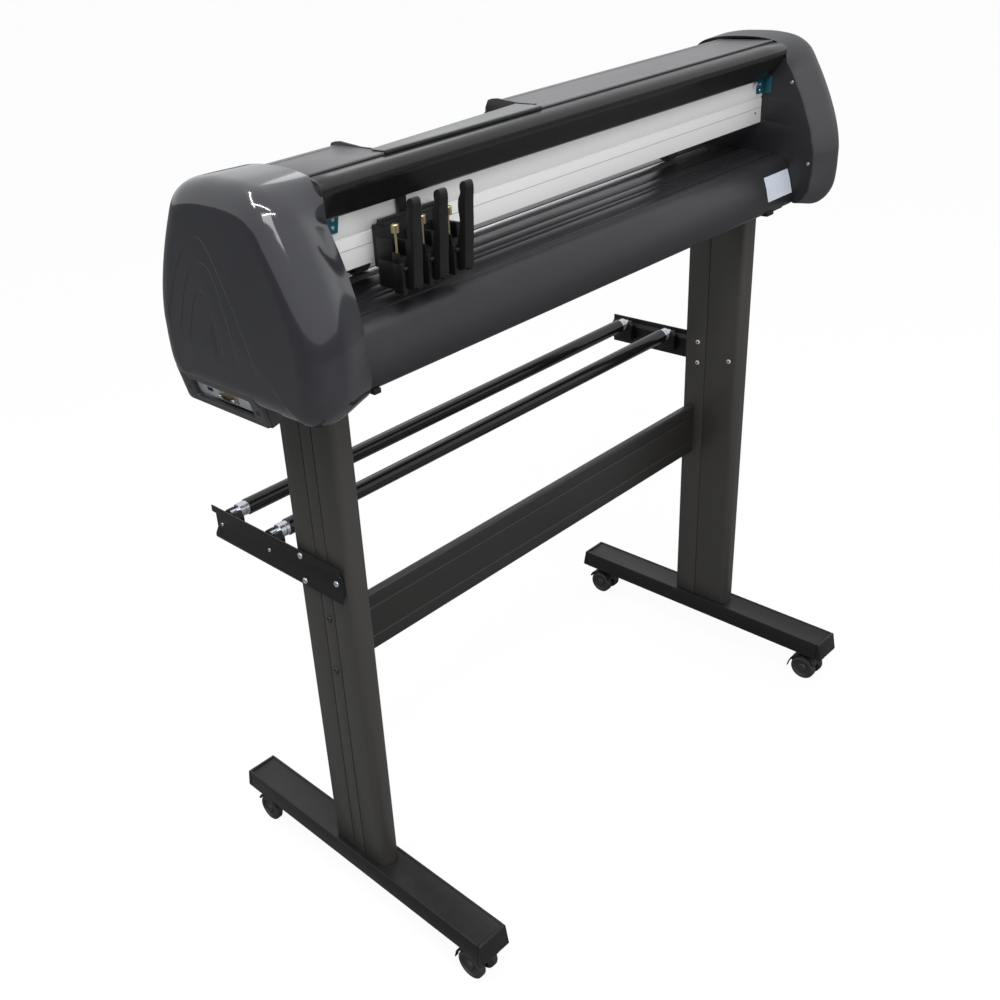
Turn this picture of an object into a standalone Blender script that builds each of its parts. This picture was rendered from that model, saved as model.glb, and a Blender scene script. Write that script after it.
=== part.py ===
"""Vinyl cutter on a castored stand: a roll-fed cutting machine on two legs with a rear roll cradle.

Metres, +Z up, +X along the machine. The operator stands at -Y, and the origin is on the floor
under the middle of the machine. Run with: blender --background --python part.py
"""

import math

import bmesh
import bpy
from mathutils import Matrix, Vector

# ---------------------------------------------------------------- driving sizes
PLATE_SPAN = 0.850
COVER_LENGTHS = {"left": 0.085, "right": 0.072}
FOOT_LENGTH = 0.486
LEG_LENGTH = 0.705
BODY_Y = -0.0095
GAP = 0.0003

# stand
WHEEL_RADIUS = 0.020
WHEEL_WIDTH = 0.0120
WHEEL_GAP = 0.0105
WHEEL_TRAIL = 0.008
AXLE_RADIUS = 0.0030
FORK_THICK = 0.0085
CASTER_HEIGHT = 0.0530
CASTER_INSET = 0.026
FOOT_WIDTH = 0.048
FOOT_HEIGHT = 0.0284
FOOT_WALL = 0.0020
FOOT_CAP_LENGTH = 0.009
LEG_THICK = 0.031
LEG_WIDTH = 0.098
LEG_WALL = 0.0025
LEG_ROUND = 0.011
LEG_GROOVE_PITCH = 0.021
LEG_GROOVE = 0.0014
LEG_Y = -0.0075
TIE_HEIGHT = 0.086
TIE_THICK = 0.011
TIE_BOTTOM = 0.359
TIE_FRONT_Y = 0.0202

# roll cradle
ROLLER_RADIUS = 0.011
ROLLER_Z = 0.549
ROLLER_YS = {"front": 0.092, "rear": 0.177}
ROLLER_NECK = 0.0045
ROLLER_COLLAR = 0.0095
BRACKET_FRONT_Y = -0.046
BRACKET_REAR_Y = 0.209
BRACKET_BOTTOM = 0.508
BRACKET_HEIGHT = 0.0475
BRACKET_THICK = 0.0020
BRACKET_FLARE = 0.0050
SEAT_THICK = 0.0110
SEAT_WIDTH = 0.030

# body: every height here is above the body base, where it stands on the legs
PLATE_THICK = 0.0030
PLATE_LAP = 0.0010
COVER_WALL = 0.0028
COVER_END_ROUND = 0.030
COVER_RIM_ROUND = 0.012
COVER_SECTION = (  # height, half width
    (-0.0085, 0.109), (-0.0015, 0.1205), (0.0150, 0.1310), (0.0450, 0.1350), (0.0750, 0.1345),
    (0.1080, 0.1275), (0.1480, 0.1120), (0.1850, 0.0930), (0.2080, 0.0780), (0.2200, 0.0600),
    (0.2260, 0.0330), (0.2275, 0.0),
)
BED_WALL = 0.0035
BED_TOP = 0.0730
BED_LIP_Z = 0.0100
BED_LIP_Y = -0.1090
BED_FLANGE = 0.074
BED_GROOVES = (-0.0720, -0.0487, -0.0389, -0.0208)
GRIT_Y = 0.0200
GRIT_RADIUS = 0.0120
GRIT_RISE = 0.0030
GRIT_NECK = 0.0050
GRIT_REACH = 0.0180
SLOT_CLEAR = 0.0018
SLOT_END = 0.030
RAIL_FRONT_Y = -0.0500
RAIL_REAR_Y = 0.0300
RAIL_BOTTOM = 0.1105
RAIL_TOP = 0.1750
RAIL_WALL = 0.0035
RAIL_GROOVE_Z = 0.1454
TAB_LENGTH = 0.031
TAB_HEIGHT = 0.0190
TAB_FOLD = 0.0140
TAB_THICK = 0.0022
HOOD_WALL = 0.0025
HOOD_TOP = 0.2190
HOOD_LIP = (-0.0600, 0.1717)
HOOD_NOSE = (-0.0830, 0.2035)
HOOD_REAR_Y = 0.0520
TOP_FRONT_Y = -0.0545
TOP_REAR_Y = 0.0220
TOP_THICK = 0.0022
NOTCH_INSET = 0.1120
NOTCH_LENGTH = 0.2520
TRIM_LENGTH = 0.2385
TRIM_FRONT_Y = -0.0575
TRIM_REAR_Y = -0.0240
TRIM_THICK = 0.0014
NOTCH_FRONT_Y = -0.0450
NOTCH_FLOOR = 0.1895
NOTCH_WALL = 0.0022
NOTCH_EAR_Y = 0.0180
NOTCH_EAR_RISE = 0.0035

# media drive
PINCH_RADIUS = 0.0090
PINCH_WIDTH = 0.020
PINCH_INSET = 0.1250
PINCH_PIN = 0.0025
PIVOT_Y = 0.0470
PIVOT_Z = 0.1250
PIVOT_RADIUS = 0.0040
ARM_WIDTH = 0.0300
LEVER_Y = 0.0800
LEVER_Z = 0.1480
LEVER_RADIUS = 0.0040
CAM_RADIUS = 0.0080
CAM_REACH = 0.0120
CAM_WIDTH = 0.0120
LEVER_HUB = 0.110
LEVER_HANDLE = 0.090
MOTOR_SIDE = 0.056
MOTOR_LENGTH = 0.048

# carriage drive
BELT_Z = 0.1815
BELT_WIDTH = 0.0060
BELT_THICK = 0.0014
PULLEY_RADIUS = 0.0095
PULLEY_Y = -0.0180
BELT_ROOM = 0.0030
PULLEY_FLANGE = 0.0022
PULLEY_SHAFT = 0.0025
DRIVE_OUTSET = 0.0310
IDLER_INSET = 0.0300
CARRIAGE_MOTOR_SIDE = 0.042
CARRIAGE_MOTOR_LENGTH = 0.034

# carriage
CARRIAGE_INSET = 0.0760
CARRIAGE_LENGTH = 0.1050
CARRIAGE_Z = (0.0850, 0.1500)
STATION_COUNT = 3
STATION_PITCH = 0.0383
STATION_INSET = 0.0816
LEVER_OFFSET = 0.0083
CLAMP_LEVER_WIDTH = 0.0150
CLAMP_PIVOT = (-0.1035, 0.1120)
CLAMP_PIN_RADIUS = 0.0022
SCREW_Y = -0.0950
SCREW_RADIUS = 0.0020
SCREW_TOP = 0.0740
SCREW_FOOT = 0.0330

# rear connections
PANEL_LENGTH = 0.150
PANEL_HEIGHT = 0.046
PANEL_DEPTH = 0.018
PANEL_RIM = 0.010
PANEL_END = 0.020
PANEL_FLOOR = 0.006
PANEL_TILT = math.radians(14.0)
PANEL_INSET = 0.0172
PANEL_Y = 0.0505
PANEL_Z = -0.0104
SOCKET_PLACE = (-0.0030, -0.0060)
SOCKET_SHELL = (0.0042, 0.0085)
SOCKET_FLANGE = (0.00625, 0.0155)
INLET_Z = 0.050
INLET_WIDTH = 0.0480
INLET_HEIGHT = 0.0280
INLET_DEPTH = 0.0280

# ---------------------------------------------------------------- worked out
PLATE_X = PLATE_SPAN / 2
CENTRE_X = (COVER_LENGTHS["left"] - COVER_LENGTHS["right"]) / 2
SPAN_X = PLATE_X - PLATE_THICK - GAP
NOTCH_X = (NOTCH_INSET - PLATE_X, NOTCH_INSET + NOTCH_LENGTH - PLATE_X)
PINCH_X = PLATE_X - PINCH_INSET
DRIVE_X = -PLATE_X - DRIVE_OUTSET
IDLER_X = PLATE_X - IDLER_INSET
CARRIAGE_X = (CARRIAGE_INSET - PLATE_X, CARRIAGE_INSET + CARRIAGE_LENGTH - PLATE_X)
STATION_X = STATION_INSET - PLATE_X
LEG_OUT = PLATE_X
LEG_IN = LEG_OUT - LEG_THICK
LEG_MID = LEG_OUT - LEG_THICK / 2
FOOT_BOTTOM = CASTER_HEIGHT
FOOT_TOP = FOOT_BOTTOM + FOOT_HEIGHT
LEG_BOTTOM = FOOT_TOP + GAP
LEG_TOP = LEG_BOTTOM + LEG_LENGTH
BODY_BASE = LEG_TOP + GAP
CASTER_Y = FOOT_LENGTH / 2 - CASTER_INSET
GRIT_Z = BED_TOP + GRIT_RISE - GRIT_RADIUS
MOTOR_TOP = BELT_Z - BELT_WIDTH / 2 - 0.0040
PINCH_Z = GRIT_Z + GRIT_RADIUS + PINCH_RADIUS + GAP
ROLLER_HALF = LEG_OUT - SEAT_THICK - 2 * GAP

COLOURS = {
    "black_cover": ((0.018, 0.018, 0.020), 0.18, 0.0),
    "black_paint": ((0.022, 0.022, 0.025), 0.42, 0.0),
    "stand_grey": ((0.085, 0.080, 0.075), 0.38, 0.6),
    "aluminium": ((0.62, 0.63, 0.65), 0.32, 0.9),
    "top_grey": ((0.20, 0.21, 0.22), 0.30, 0.0),
    "roller_black": ((0.012, 0.012, 0.013), 0.15, 0.0),
    "zinc": ((0.60, 0.61, 0.63), 0.35, 0.9),
    "rubber": ((0.03, 0.03, 0.03), 0.70, 0.0),
    "nylon": ((0.035, 0.038, 0.042), 0.50, 0.0),
    "brass": ((0.72, 0.48, 0.14), 0.28, 1.0),
    "teal_bracket": ((0.02, 0.30, 0.30), 0.40, 0.3),
    "light_plate": ((0.55, 0.56, 0.57), 0.45, 0.3),
    "steel": ((0.45, 0.45, 0.46), 0.35, 0.9),
}

for old in list(bpy.data.objects):
    bpy.data.objects.remove(old, do_unlink=True)
PARTS = bpy.data.collections.new("vinyl_cutter")
CUTTERS = bpy.data.collections.new("cutters")
bpy.context.scene.collection.children.link(PARTS)
bpy.context.scene.collection.children.link(CUTTERS)
CUTTERS.hide_render = True


# ---------------------------------------------------------------- helpers
def material(name):
    found = bpy.data.materials.get(name)
    if found:
        return found
    colour, rough, metal = COLOURS[name]
    made = bpy.data.materials.new(name)
    made.use_nodes = True
    shader = made.node_tree.nodes["Principled BSDF"]
    shader.inputs["Base Color"].default_value = (*colour, 1.0)
    shader.inputs["Roughness"].default_value = rough
    shader.inputs["Metallic"].default_value = metal
    return made


def add(name, data, finish, matrix=None):
    """One named object, or a cutter where finish is None."""
    made = bpy.data.objects.new(name, data)
    if matrix is not None:
        made.matrix_world = matrix
    if finish is None:
        CUTTERS.objects.link(made)
        made.hide_render = True
        made.display_type = "WIRE"
    else:
        PARTS.objects.link(made)
        made.data.materials.append(material(finish))
    return made


def from_bmesh(name, bm, finish, matrix=None, smooth=True):
    mesh = bpy.data.meshes.new(name)
    bmesh.ops.recalc_face_normals(bm, faces=bm.faces)
    bm.to_mesh(mesh)
    bm.free()
    if smooth:
        mesh.shade_smooth()
        mesh.set_sharp_from_angle(angle=math.radians(35))
    return add(name, mesh, finish, matrix)


def box(name, low, high, finish, bevel=0.0):
    """A box between two corners, its origin in its middle."""
    low, high = Vector(low), Vector(high)
    bm = bmesh.new()
    bmesh.ops.create_cube(bm, size=1.0, matrix=Matrix.Diagonal((*(high - low), 1.0)))
    if bevel:
        bmesh.ops.bevel(bm, geom=bm.edges[:], offset=bevel, segments=2, profile=0.5, affect="EDGES")
    return from_bmesh(name, bm, finish, Matrix.Translation((low + high) / 2))


AXES = {
    "x": Matrix(((0, 0, 1), (1, 0, 0), (0, 1, 0))).to_4x4(),  # local x, y, z run along y, z, x
    "y": Matrix(((1, 0, 0), (0, 0, 1), (0, -1, 0))).to_4x4(),
    "z": Matrix.Identity(4),
}


def rod(name, centre, axis, radius, length, finish, segments=24):
    bm = bmesh.new()
    bmesh.ops.create_cone(bm, cap_ends=True, segments=segments, radius1=radius, radius2=radius, depth=length)
    return from_bmesh(name, bm, finish, Matrix.Translation(centre) @ AXES[axis])


def turned(name, centre, axis, profile, finish, segments=24):
    """A solid of revolution: profile holds (radius, place along the axis), top to bottom."""
    bm = bmesh.new()
    rows = [bm.verts.new((radius, 0.0, along)) for radius, along in profile]
    for upper, lower in zip(rows, rows[1:]):
        bm.edges.new((upper, lower))
    mesh = bpy.data.meshes.new(name)
    bm.to_mesh(mesh)
    bm.free()
    made = add(name, mesh, finish, Matrix.Translation(centre) @ AXES[axis])
    screw = made.modifiers.new("turn", "SCREW")
    screw.steps = screw.render_steps = segments
    screw.use_merge_vertices = True
    screw.merge_threshold = 0.00005
    screw.use_smooth_shade = False
    return made


def outline(name, loops, thickness, finish, axis="x", centre=(0, 0, 0)):
    """A flat outline, with holes as further loops, extruded along an axis about its centre."""
    curve = bpy.data.curves.new(name, "CURVE")
    curve.dimensions = "2D"
    curve.fill_mode = "BOTH"
    curve.extrude = thickness / 2
    for loop in loops:
        spline = curve.splines.new("POLY")
        spline.points.add(len(loop) - 1)
        for point, (u, v) in zip(spline.points, loop):
            point.co = (u, v, 0.0, 1.0)
        spline.use_cyclic_u = True
    guide = bpy.data.objects.new(name + "_outline", curve)
    PARTS.objects.link(guide)
    graph = bpy.context.evaluated_depsgraph_get()
    mesh = bpy.data.meshes.new_from_object(guide.evaluated_get(graph))
    bpy.data.objects.remove(guide, do_unlink=True)
    bm = bmesh.new()
    bm.from_mesh(mesh)
    bmesh.ops.remove_doubles(bm, verts=bm.verts, dist=0.00002)
    bm.to_mesh(mesh)
    bm.free()
    mesh.name = name
    return add(name, mesh, finish, Matrix.Translation(centre) @ AXES[axis])


def apply_all(piece):
    """Bakes the piece's modifiers into its mesh."""
    graph = bpy.context.evaluated_depsgraph_get()
    mesh = bpy.data.meshes.new_from_object(piece.evaluated_get(graph))
    piece.modifiers.clear()
    piece.data = mesh
    return piece


def boolean(piece, other, kind):
    modifier = piece.modifiers.new(kind.lower(), "BOOLEAN")
    modifier.operation = kind
    modifier.solver = "EXACT"
    modifier.object = other
    bpy.context.view_layer.update()
    apply_all(piece)
    bpy.data.objects.remove(other, do_unlink=True)
    return piece


def cut(piece, *cutters):
    for cutter in cutters:
        boolean(piece, cutter, "DIFFERENCE")
    return piece


def join(piece, *others):
    for other in others:
        boolean(piece, other, "UNION")
    return piece


def arc(centre, radius, start, end, steps):
    """Points on an arc, angles in degrees."""
    angles = [math.radians(start + (end - start) * i / steps) for i in range(steps + 1)]
    return [(centre[0] + radius * math.cos(a), centre[1] + radius * math.sin(a)) for a in angles]


def offset_path(path, distance):
    """The path moved sideways by a distance, to its left as it runs, with mitred corners."""
    moved = []
    for i, point in enumerate(path):
        before = Vector(path[i - 1]) if i else None
        after = Vector(path[i + 1]) if i + 1 < len(path) else None
        here = Vector(point)
        spans = [(a, b) for a, b in ((before, here), (here, after)) if a is not None and b is not None]
        sides = [(b - a).normalized() for a, b in spans]
        normals = [Vector((-side.y, side.x)) for side in sides]
        middle = sum(normals, Vector((0.0, 0.0))).normalized()
        moved.append(tuple(here + middle * (distance / middle.dot(normals[0]))))
    return moved


def pivoted(piece, point):
    """Moves the piece's origin to a point on its joint's axis, leaving the solid where it is."""
    world = Matrix.Translation(point) @ piece.matrix_world.to_3x3().to_4x4()
    piece.data.transform(world.inverted() @ piece.matrix_world)
    piece.matrix_world = world
    return piece


# ---------------------------------------------------------------- stand
def make_leg(side, sign):
    """Hollow extrusion with round front and rear corners and grooves down its wide faces."""
    half_t, half_w = LEG_THICK / 2, LEG_WIDTH / 2
    r = LEG_ROUND
    g, p = LEG_GROOVE / 2, LEG_GROOVE_PITCH / 2
    groove_depth = 0.0012

    def notch(at, side_sign, rising):
        steps = [(-g, 0.0), (-g, groove_depth), (g, groove_depth), (g, 0.0)]
        steps = steps if rising else [(-a, b) for a, b in steps]
        return [(side_sign * (half_t - depth), at + shift) for shift, depth in steps]

    # sign * x faces outwards: two grooves there, one on the inner face
    right_grooves = [-p, p] if sign > 0 else [p]
    left_grooves = [-p, p] if sign < 0 else [p]
    outer = arc((half_t - r, -half_w + r), r, -90, 0, 4)
    for at in right_grooves:
        outer += notch(at, 1, True)
    outer += arc((half_t - 0.004, half_w - 0.004), 0.004, 0, 90, 2)
    outer += arc((-half_t + 0.004, half_w - 0.004), 0.004, 90, 180, 2)
    for at in reversed(left_grooves):
        outer += notch(at, -1, False)
    outer += arc((-half_t + r, -half_w + r), r, 180, 270, 4)
    wt, ww = half_t - LEG_WALL, half_w - LEG_WALL
    inner = [(-wt, -ww + r), (-wt + r, -ww), (wt - r, -ww), (wt, -ww + r), (wt, ww), (-wt, ww)]
    return outline(
        f"leg_{side}", [outer, inner], LEG_TOP - LEG_BOTTOM, "stand_grey", "z",
        (sign * LEG_MID, LEG_Y, (LEG_TOP + LEG_BOTTOM) / 2),
    )


def make_foot(side, sign):
    """Rectangular tube lying front to back, with a raised lip along each top edge."""
    half_w, lip, rise = FOOT_WIDTH / 2, 0.0035, 0.0012
    low, high = FOOT_BOTTOM, FOOT_TOP + rise
    inner_w, w = half_w - FOOT_WALL, FOOT_WALL
    outer = [(-half_w, low), (half_w, low), (half_w, high), (half_w - lip, high)]
    outer += [(half_w - lip, FOOT_TOP), (-half_w + lip, FOOT_TOP), (-half_w + lip, high), (-half_w, high)]
    inner = [(-inner_w, low + w), (inner_w, low + w), (inner_w, FOOT_TOP - w), (-inner_w, FOOT_TOP - w)]
    tube = outline(
        f"foot_{side}", [[(u, v - low) for u, v in outer], [(u, v - low) for u, v in inner]],
        FOOT_LENGTH - 2 * (FOOT_CAP_LENGTH + GAP), "stand_grey", "z",
    )
    tube.matrix_world = Matrix.Translation((sign * LEG_MID, 0, low)) @ Matrix.Rotation(math.pi / 2, 4, "X")
    return tube


def make_foot_cap(side, sign, end, front):
    """Moulded end plug: a slanted face outside, a spigot inside the tube."""
    half_w = FOOT_WIDTH / 2
    slant = 0.005
    y_out, y_in = FOOT_LENGTH / 2, FOOT_LENGTH / 2 - FOOT_CAP_LENGTH
    low, high = FOOT_BOTTOM, FOOT_TOP + 0.0012
    face = [(y_in, low), (y_out - 0.001, low), (y_out, low + 0.002), (y_out - slant, high), (y_in, high)]
    if front < 0:
        face = [(-y, z) for y, z in reversed(face)]
    name = f"foot_cap_{side}_{end}"
    plug = outline(name, [face], FOOT_WIDTH, "nylon", "x", (sign * LEG_MID, 0, 0))
    inset = FOOT_WALL + GAP
    deep = 0.010
    ys = sorted((front * (y_in + 0.001), front * (y_in - deep)))
    spigot = box(
        "spigot", (sign * LEG_MID - half_w + inset, ys[0], low + inset),
        (sign * LEG_MID + half_w - inset, ys[1], FOOT_TOP - inset), None,
    )
    return join(plug, spigot)


def make_caster(side, sign, end, front):
    """Twin-wheel caster: a swivel fork with a hooded web between two wheels on one axle."""
    x, y = sign * LEG_MID, front * CASTER_Y
    top = FOOT_BOTTOM - GAP
    trail = y - front * WHEEL_TRAIL
    hub_z = WHEEL_RADIUS
    web_half = FORK_THICK / 2
    web = arc((trail, hub_z), WHEEL_RADIUS + 0.005, -20, 170, 8)
    web += [(trail - 0.012, hub_z + 0.002), (trail - 0.010, hub_z - 0.010), (trail + 0.010, hub_z - 0.012)]
    fork = outline(
        f"caster_fork_{side}_{end}", [web, arc((trail, hub_z), AXLE_RADIUS + GAP, 360, 22.5, 15)],
        2 * web_half, "nylon", "x", (x, 0, 0),
    )
    stem_low = hub_z + WHEEL_RADIUS + 4 * GAP
    stem = rod("stem", (x, y, (top + stem_low) / 2), "z", 0.0085, top - stem_low, None, 16)
    plate_thick = 0.0035
    plate = rod("plate", (x, y, top - plate_thick / 2), "z", 0.019, plate_thick, None, 24)
    hood = arc((trail, hub_z), WHEEL_RADIUS + 0.0045, 20, 150, 7)
    hood += arc((trail, hub_z), WHEEL_RADIUS + 0.0015, 150, 20, 7)
    shell = outline("shell", [hood], 2 * (WHEEL_WIDTH + WHEEL_GAP / 2), None, "x", (x, 0, 0))
    join(fork, shell, stem, plate)
    pivoted(fork, (x, y, top))
    out = WHEEL_GAP / 2 + WHEEL_WIDTH
    r, rim = WHEEL_RADIUS, 0.0025
    half = WHEEL_GAP / 2
    profile = [(0, out), (0.012, out), (r - rim, out), (r, out - rim), (r, half + rim), (r - rim, half)]
    profile += [(AXLE_RADIUS, half)]
    profile += [(a, -b) for a, b in reversed(profile)]
    turned(f"caster_wheels_{side}_{end}", (x, trail, hub_z), "x", profile, "rubber", 28)


def make_tie_bar():
    """Plank extrusion between the legs with two shallow front grooves."""
    half = TIE_HEIGHT / 2
    low, high, mid = TIE_BOTTOM, TIE_BOTTOM + TIE_HEIGHT, TIE_BOTTOM + half
    front, rear = TIE_FRONT_Y, TIE_FRONT_Y + TIE_THICK
    face = [(rear, low), (rear, high), (front + 0.002, high), (front, high - 0.002)]
    for at in (mid + 0.022, mid - 0.022):
        face += [(front, at + 0.001), (front + 0.001, at), (front, at - 0.001)]
    face += [(front, low + 0.002), (front + 0.002, low)]
    outline("tie_bar", [face], 2 * (LEG_IN - GAP), "stand_grey", "x")


def make_cradle():
    """Rear roll cradle: flared brackets on the legs, notched seats and two loose rollers."""
    for side, sign in (("left", -1), ("right", 1)):
        x0 = LEG_OUT + GAP
        steps = [
            (x0 + BRACKET_FLARE, 0.0), (x0 + BRACKET_FLARE, 0.004), (x0, 0.0125), (x0, 0.034),
            (x0 + BRACKET_FLARE, 0.0395), (x0 + BRACKET_FLARE, BRACKET_HEIGHT),
        ]
        section = steps + list(reversed(offset_path(steps, -BRACKET_THICK)))
        section = [(sign * u, v) for u, v in section]
        length = BRACKET_REAR_Y - BRACKET_FRONT_Y
        plate = outline(f"roller_bracket_{side}", [section], length, "stand_grey", "z")
        plate.matrix_world = Matrix.Translation(
            (0, (BRACKET_REAR_Y + BRACKET_FRONT_Y) / 2, BRACKET_BOTTOM)
        ) @ Matrix.Rotation(math.pi / 2, 4, "X")
        for end, y in ROLLER_YS.items():
            low = BRACKET_BOTTOM + 0.012
            high = ROLLER_Z + 0.004
            neck = ROLLER_NECK + GAP
            half = SEAT_WIDTH / 2
            face = [(y - half, low), (y + half, low), (y + half, high - 0.006), (y + half - 0.006, high)]
            face += [(y + neck, high), *arc((y, ROLLER_Z), neck, 0, -180, 8), (y - neck, high)]
            face += [(y - half + 0.006, high), (y - half, high - 0.006)]
            outline(
                f"roller_seat_{side}_{end}", [face], SEAT_THICK, "nylon", "x",
                (sign * (LEG_OUT - SEAT_THICK / 2), 0, 0),
            )
    tip, collar = LEG_OUT - 0.001, 0.014
    body = ROLLER_HALF - collar
    for end, y in ROLLER_YS.items():
        profile = [(0, tip), (ROLLER_NECK, tip), (ROLLER_NECK, ROLLER_HALF), (ROLLER_COLLAR, ROLLER_HALF)]
        profile += [(ROLLER_COLLAR, body), (ROLLER_RADIUS, body)]
        profile += [(a, -b) for a, b in reversed(profile)]
        turned(f"media_roller_{end}", (0, y, ROLLER_Z), "x", profile, "roller_black", 24)


# ---------------------------------------------------------------- body
def lifted(path):
    """Points whose heights are above the body base, moved up to it."""
    return [(y, BODY_BASE + z) for y, z in path]


def section_loop(inset=0.0):
    """The end cover's outline, looking along the machine, moved inwards by an inset."""
    front = [(BODY_Y - half, z) for z, half in COVER_SECTION]
    rear = [(BODY_Y + half, z) for z, half in reversed(COVER_SECTION[:-1])]
    loop = lifted(front + rear)
    if not inset:
        return loop
    closed = [loop[-1], *loop, loop[0]]
    return offset_path(closed, -inset)[1:-1]


def make_end_cover(side, sign):
    """Moulded shell, open towards the side plate, with a large round at its outer end."""
    loop = section_loop()
    x0, x1 = PLATE_X + GAP, PLATE_X + COVER_LENGTHS[side]
    bm = bmesh.new()
    ring = [bm.verts.new((0.0, y, z)) for y, z in loop]
    face = bm.faces.new(ring)
    extruded = bmesh.ops.extrude_face_region(bm, geom=[face])
    moved = [v for v in extruded["geom"] if isinstance(v, bmesh.types.BMVert)]
    for vert in moved:
        vert.co.x = x1 - x0
    outer = [e for e in bm.edges if all(v.co.x > 0.5 * (x1 - x0) for v in e.verts)]
    bmesh.ops.bevel(bm, geom=outer, offset=COVER_END_ROUND, segments=4, profile=0.5, affect="EDGES")
    inner = [e for e in bm.edges if all(v.co.x < 1e-6 for v in e.verts)]
    bmesh.ops.bevel(bm, geom=inner, offset=COVER_RIM_ROUND, segments=2, profile=0.5, affect="EDGES")
    mouth = [f for f in bm.faces if all(v.co.x < 1e-6 for v in f.verts)]
    bmesh.ops.delete(bm, geom=mouth, context="FACES")
    bmesh.ops.recalc_face_normals(bm, faces=bm.faces)
    if sign < 0:
        for vert in bm.verts:
            vert.co.x = -vert.co.x
        bmesh.ops.reverse_faces(bm, faces=bm.faces)
    mesh = bpy.data.meshes.new(f"end_cover_{side}")
    bm.to_mesh(mesh)
    bm.free()
    cover = add(f"end_cover_{side}", mesh, "black_cover", Matrix.Translation((sign * x0, 0, 0)))
    wall = cover.modifiers.new("wall", "SOLIDIFY")
    wall.thickness = COVER_WALL
    wall.offset = -1.0
    bpy.context.view_layer.update()
    apply_all(cover)
    return cover


def make_side_plate(side, sign):
    """Steel plate that carries the rail, the bed, the drive shaft and the pivot rods."""
    loop = section_loop(COVER_RIM_ROUND - PLATE_LAP)
    holes = [
        (GRIT_Y, GRIT_Z, GRIT_NECK + GAP), (PIVOT_Y, PIVOT_Z, PIVOT_RADIUS + GAP),
        (LEVER_Y, LEVER_Z, LEVER_RADIUS + GAP),
    ]
    loops = [loop] + [arc((y, BODY_BASE + z), r, 360, 22.5, 15) for y, z, r in holes]
    if sign < 0:
        low = BELT_Z - BELT_WIDTH / 2 - BELT_ROOM
        high = BELT_Z + BELT_WIDTH / 2 + BELT_ROOM
        half = PULLEY_RADIUS + 0.006
        front, rear = PULLEY_Y - half, PULLEY_Y + half
        loops.append(lifted([(front, low), (front, high), (rear, high), (rear, low)]))
    plate = outline(
        f"side_plate_{side}", loops, PLATE_THICK, "black_paint", "x",
        (sign * (PLATE_X - PLATE_THICK / 2), 0, 0),
    )
    if sign < 0:
        top = BODY_BASE + MOTOR_TOP - CARRIAGE_MOTOR_LENGTH - GAP
        half = CARRIAGE_MOTOR_SIDE / 2
        shelf = box(
            "shelf", (DRIVE_X - half, PULLEY_Y - half, top - PLATE_THICK),
            (-PLATE_X + PLATE_THICK / 2, PULLEY_Y + half, top), None,
        )
        join(plate, shelf)


def bed_path():
    """The bed's upper side in two runs: front flange to the groove field, and on to the rear flange."""
    lip = BED_LIP_Y
    rear_lip = 2 * BODY_Y - lip
    front = [(lip + BED_FLANGE, 0.0), (lip + 0.004, 0.0), (lip, 0.004), (lip, BED_LIP_Z)]
    front += [(lip + 0.0065, 0.036), (lip + 0.0125, 0.053), (lip + 0.0190, 0.0625), (lip + 0.0300, 0.0675)]
    rear = [(0.045, BED_TOP - 0.0005), (rear_lip - 0.024, BED_TOP - 0.005), (rear_lip - 0.012, 0.060)]
    rear += [(rear_lip - 0.0065, 0.036), (rear_lip, BED_LIP_Z), (rear_lip, 0.004), (rear_lip - 0.004, 0.0)]
    rear += [(rear_lip - BED_FLANGE, 0.0)]
    return front, rear


def make_bed():
    """Extruded platen: a ribbed top with front and rear aprons and inward flanges below."""
    front, rear = bed_path()
    start_y, start_z = front[-1]
    top = []
    half, deep = 0.0010, 0.0012
    for y in BED_GROOVES:
        share = (y - start_y) / -start_y
        z = start_z + (BED_TOP - start_z) * math.sin(share * math.pi / 2)
        top += [(y - half, z), (y - half, z - deep), (y + half, z - deep), (y + half, z)]
    outer = front + top + [(0.0, BED_TOP)] + rear
    under = offset_path(front + [(0.0, BED_TOP)] + rear, -BED_WALL)
    bed = outline("platen", [lifted(outer + list(reversed(under)))], 2 * SPAN_X, "black_paint", "x")
    half = GRIT_RADIUS + SLOT_CLEAR
    slot = SPAN_X - SLOT_END
    top_z = BODY_BASE + BED_TOP
    low, high = (-slot, GRIT_Y - half, top_z - 0.03), (slot, GRIT_Y + half, top_z + 0.01)
    return cut(bed, box("slot", low, high, None))


def make_rail():
    """Box extrusion whose front carries the carriage, with a groove between its two bands."""
    front, rear, low, high, w = RAIL_FRONT_Y, RAIL_REAR_Y, RAIL_BOTTOM, RAIL_TOP, RAIL_WALL
    g = 0.0012
    outer = [(front, low), (rear, low), (rear, high), (front, high)]
    outer += [(front, RAIL_GROOVE_Z + g), (front + g, RAIL_GROOVE_Z + g)]
    outer += [(front + g, RAIL_GROOVE_Z - g), (front, RAIL_GROOVE_Z - g)]
    inner = [(front + w, low + w), (front + w, high - w), (rear - w, high - w), (rear - w, low + w)]
    outline("guide_rail", [lifted(outer), lifted(inner)], 2 * SPAN_X, "aluminium", "x")


def hood_path():
    """The hood's outer side from its front lip over the nose and the top to its rear lip."""
    nose = Vector(HOOD_NOSE)
    top_front = TOP_FRONT_Y - 0.004
    rounding = [(nose.x + 0.001, nose.y + 0.005), (nose.x + 0.005, nose.y + 0.0095)]
    rounding += [(nose.x + 0.012, HOOD_TOP - 0.0020), (top_front, HOOD_TOP)]
    rear = [(TOP_REAR_Y + 0.003, HOOD_TOP), (TOP_REAR_Y + 0.0115, HOOD_TOP - 0.007)]
    rear += [(HOOD_REAR_Y - 0.008, HOOD_TOP - 0.020), (HOOD_REAR_Y, HOOD_TOP - 0.043)]
    return [HOOD_LIP, HOOD_NOSE, *rounding, *rear]


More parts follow.
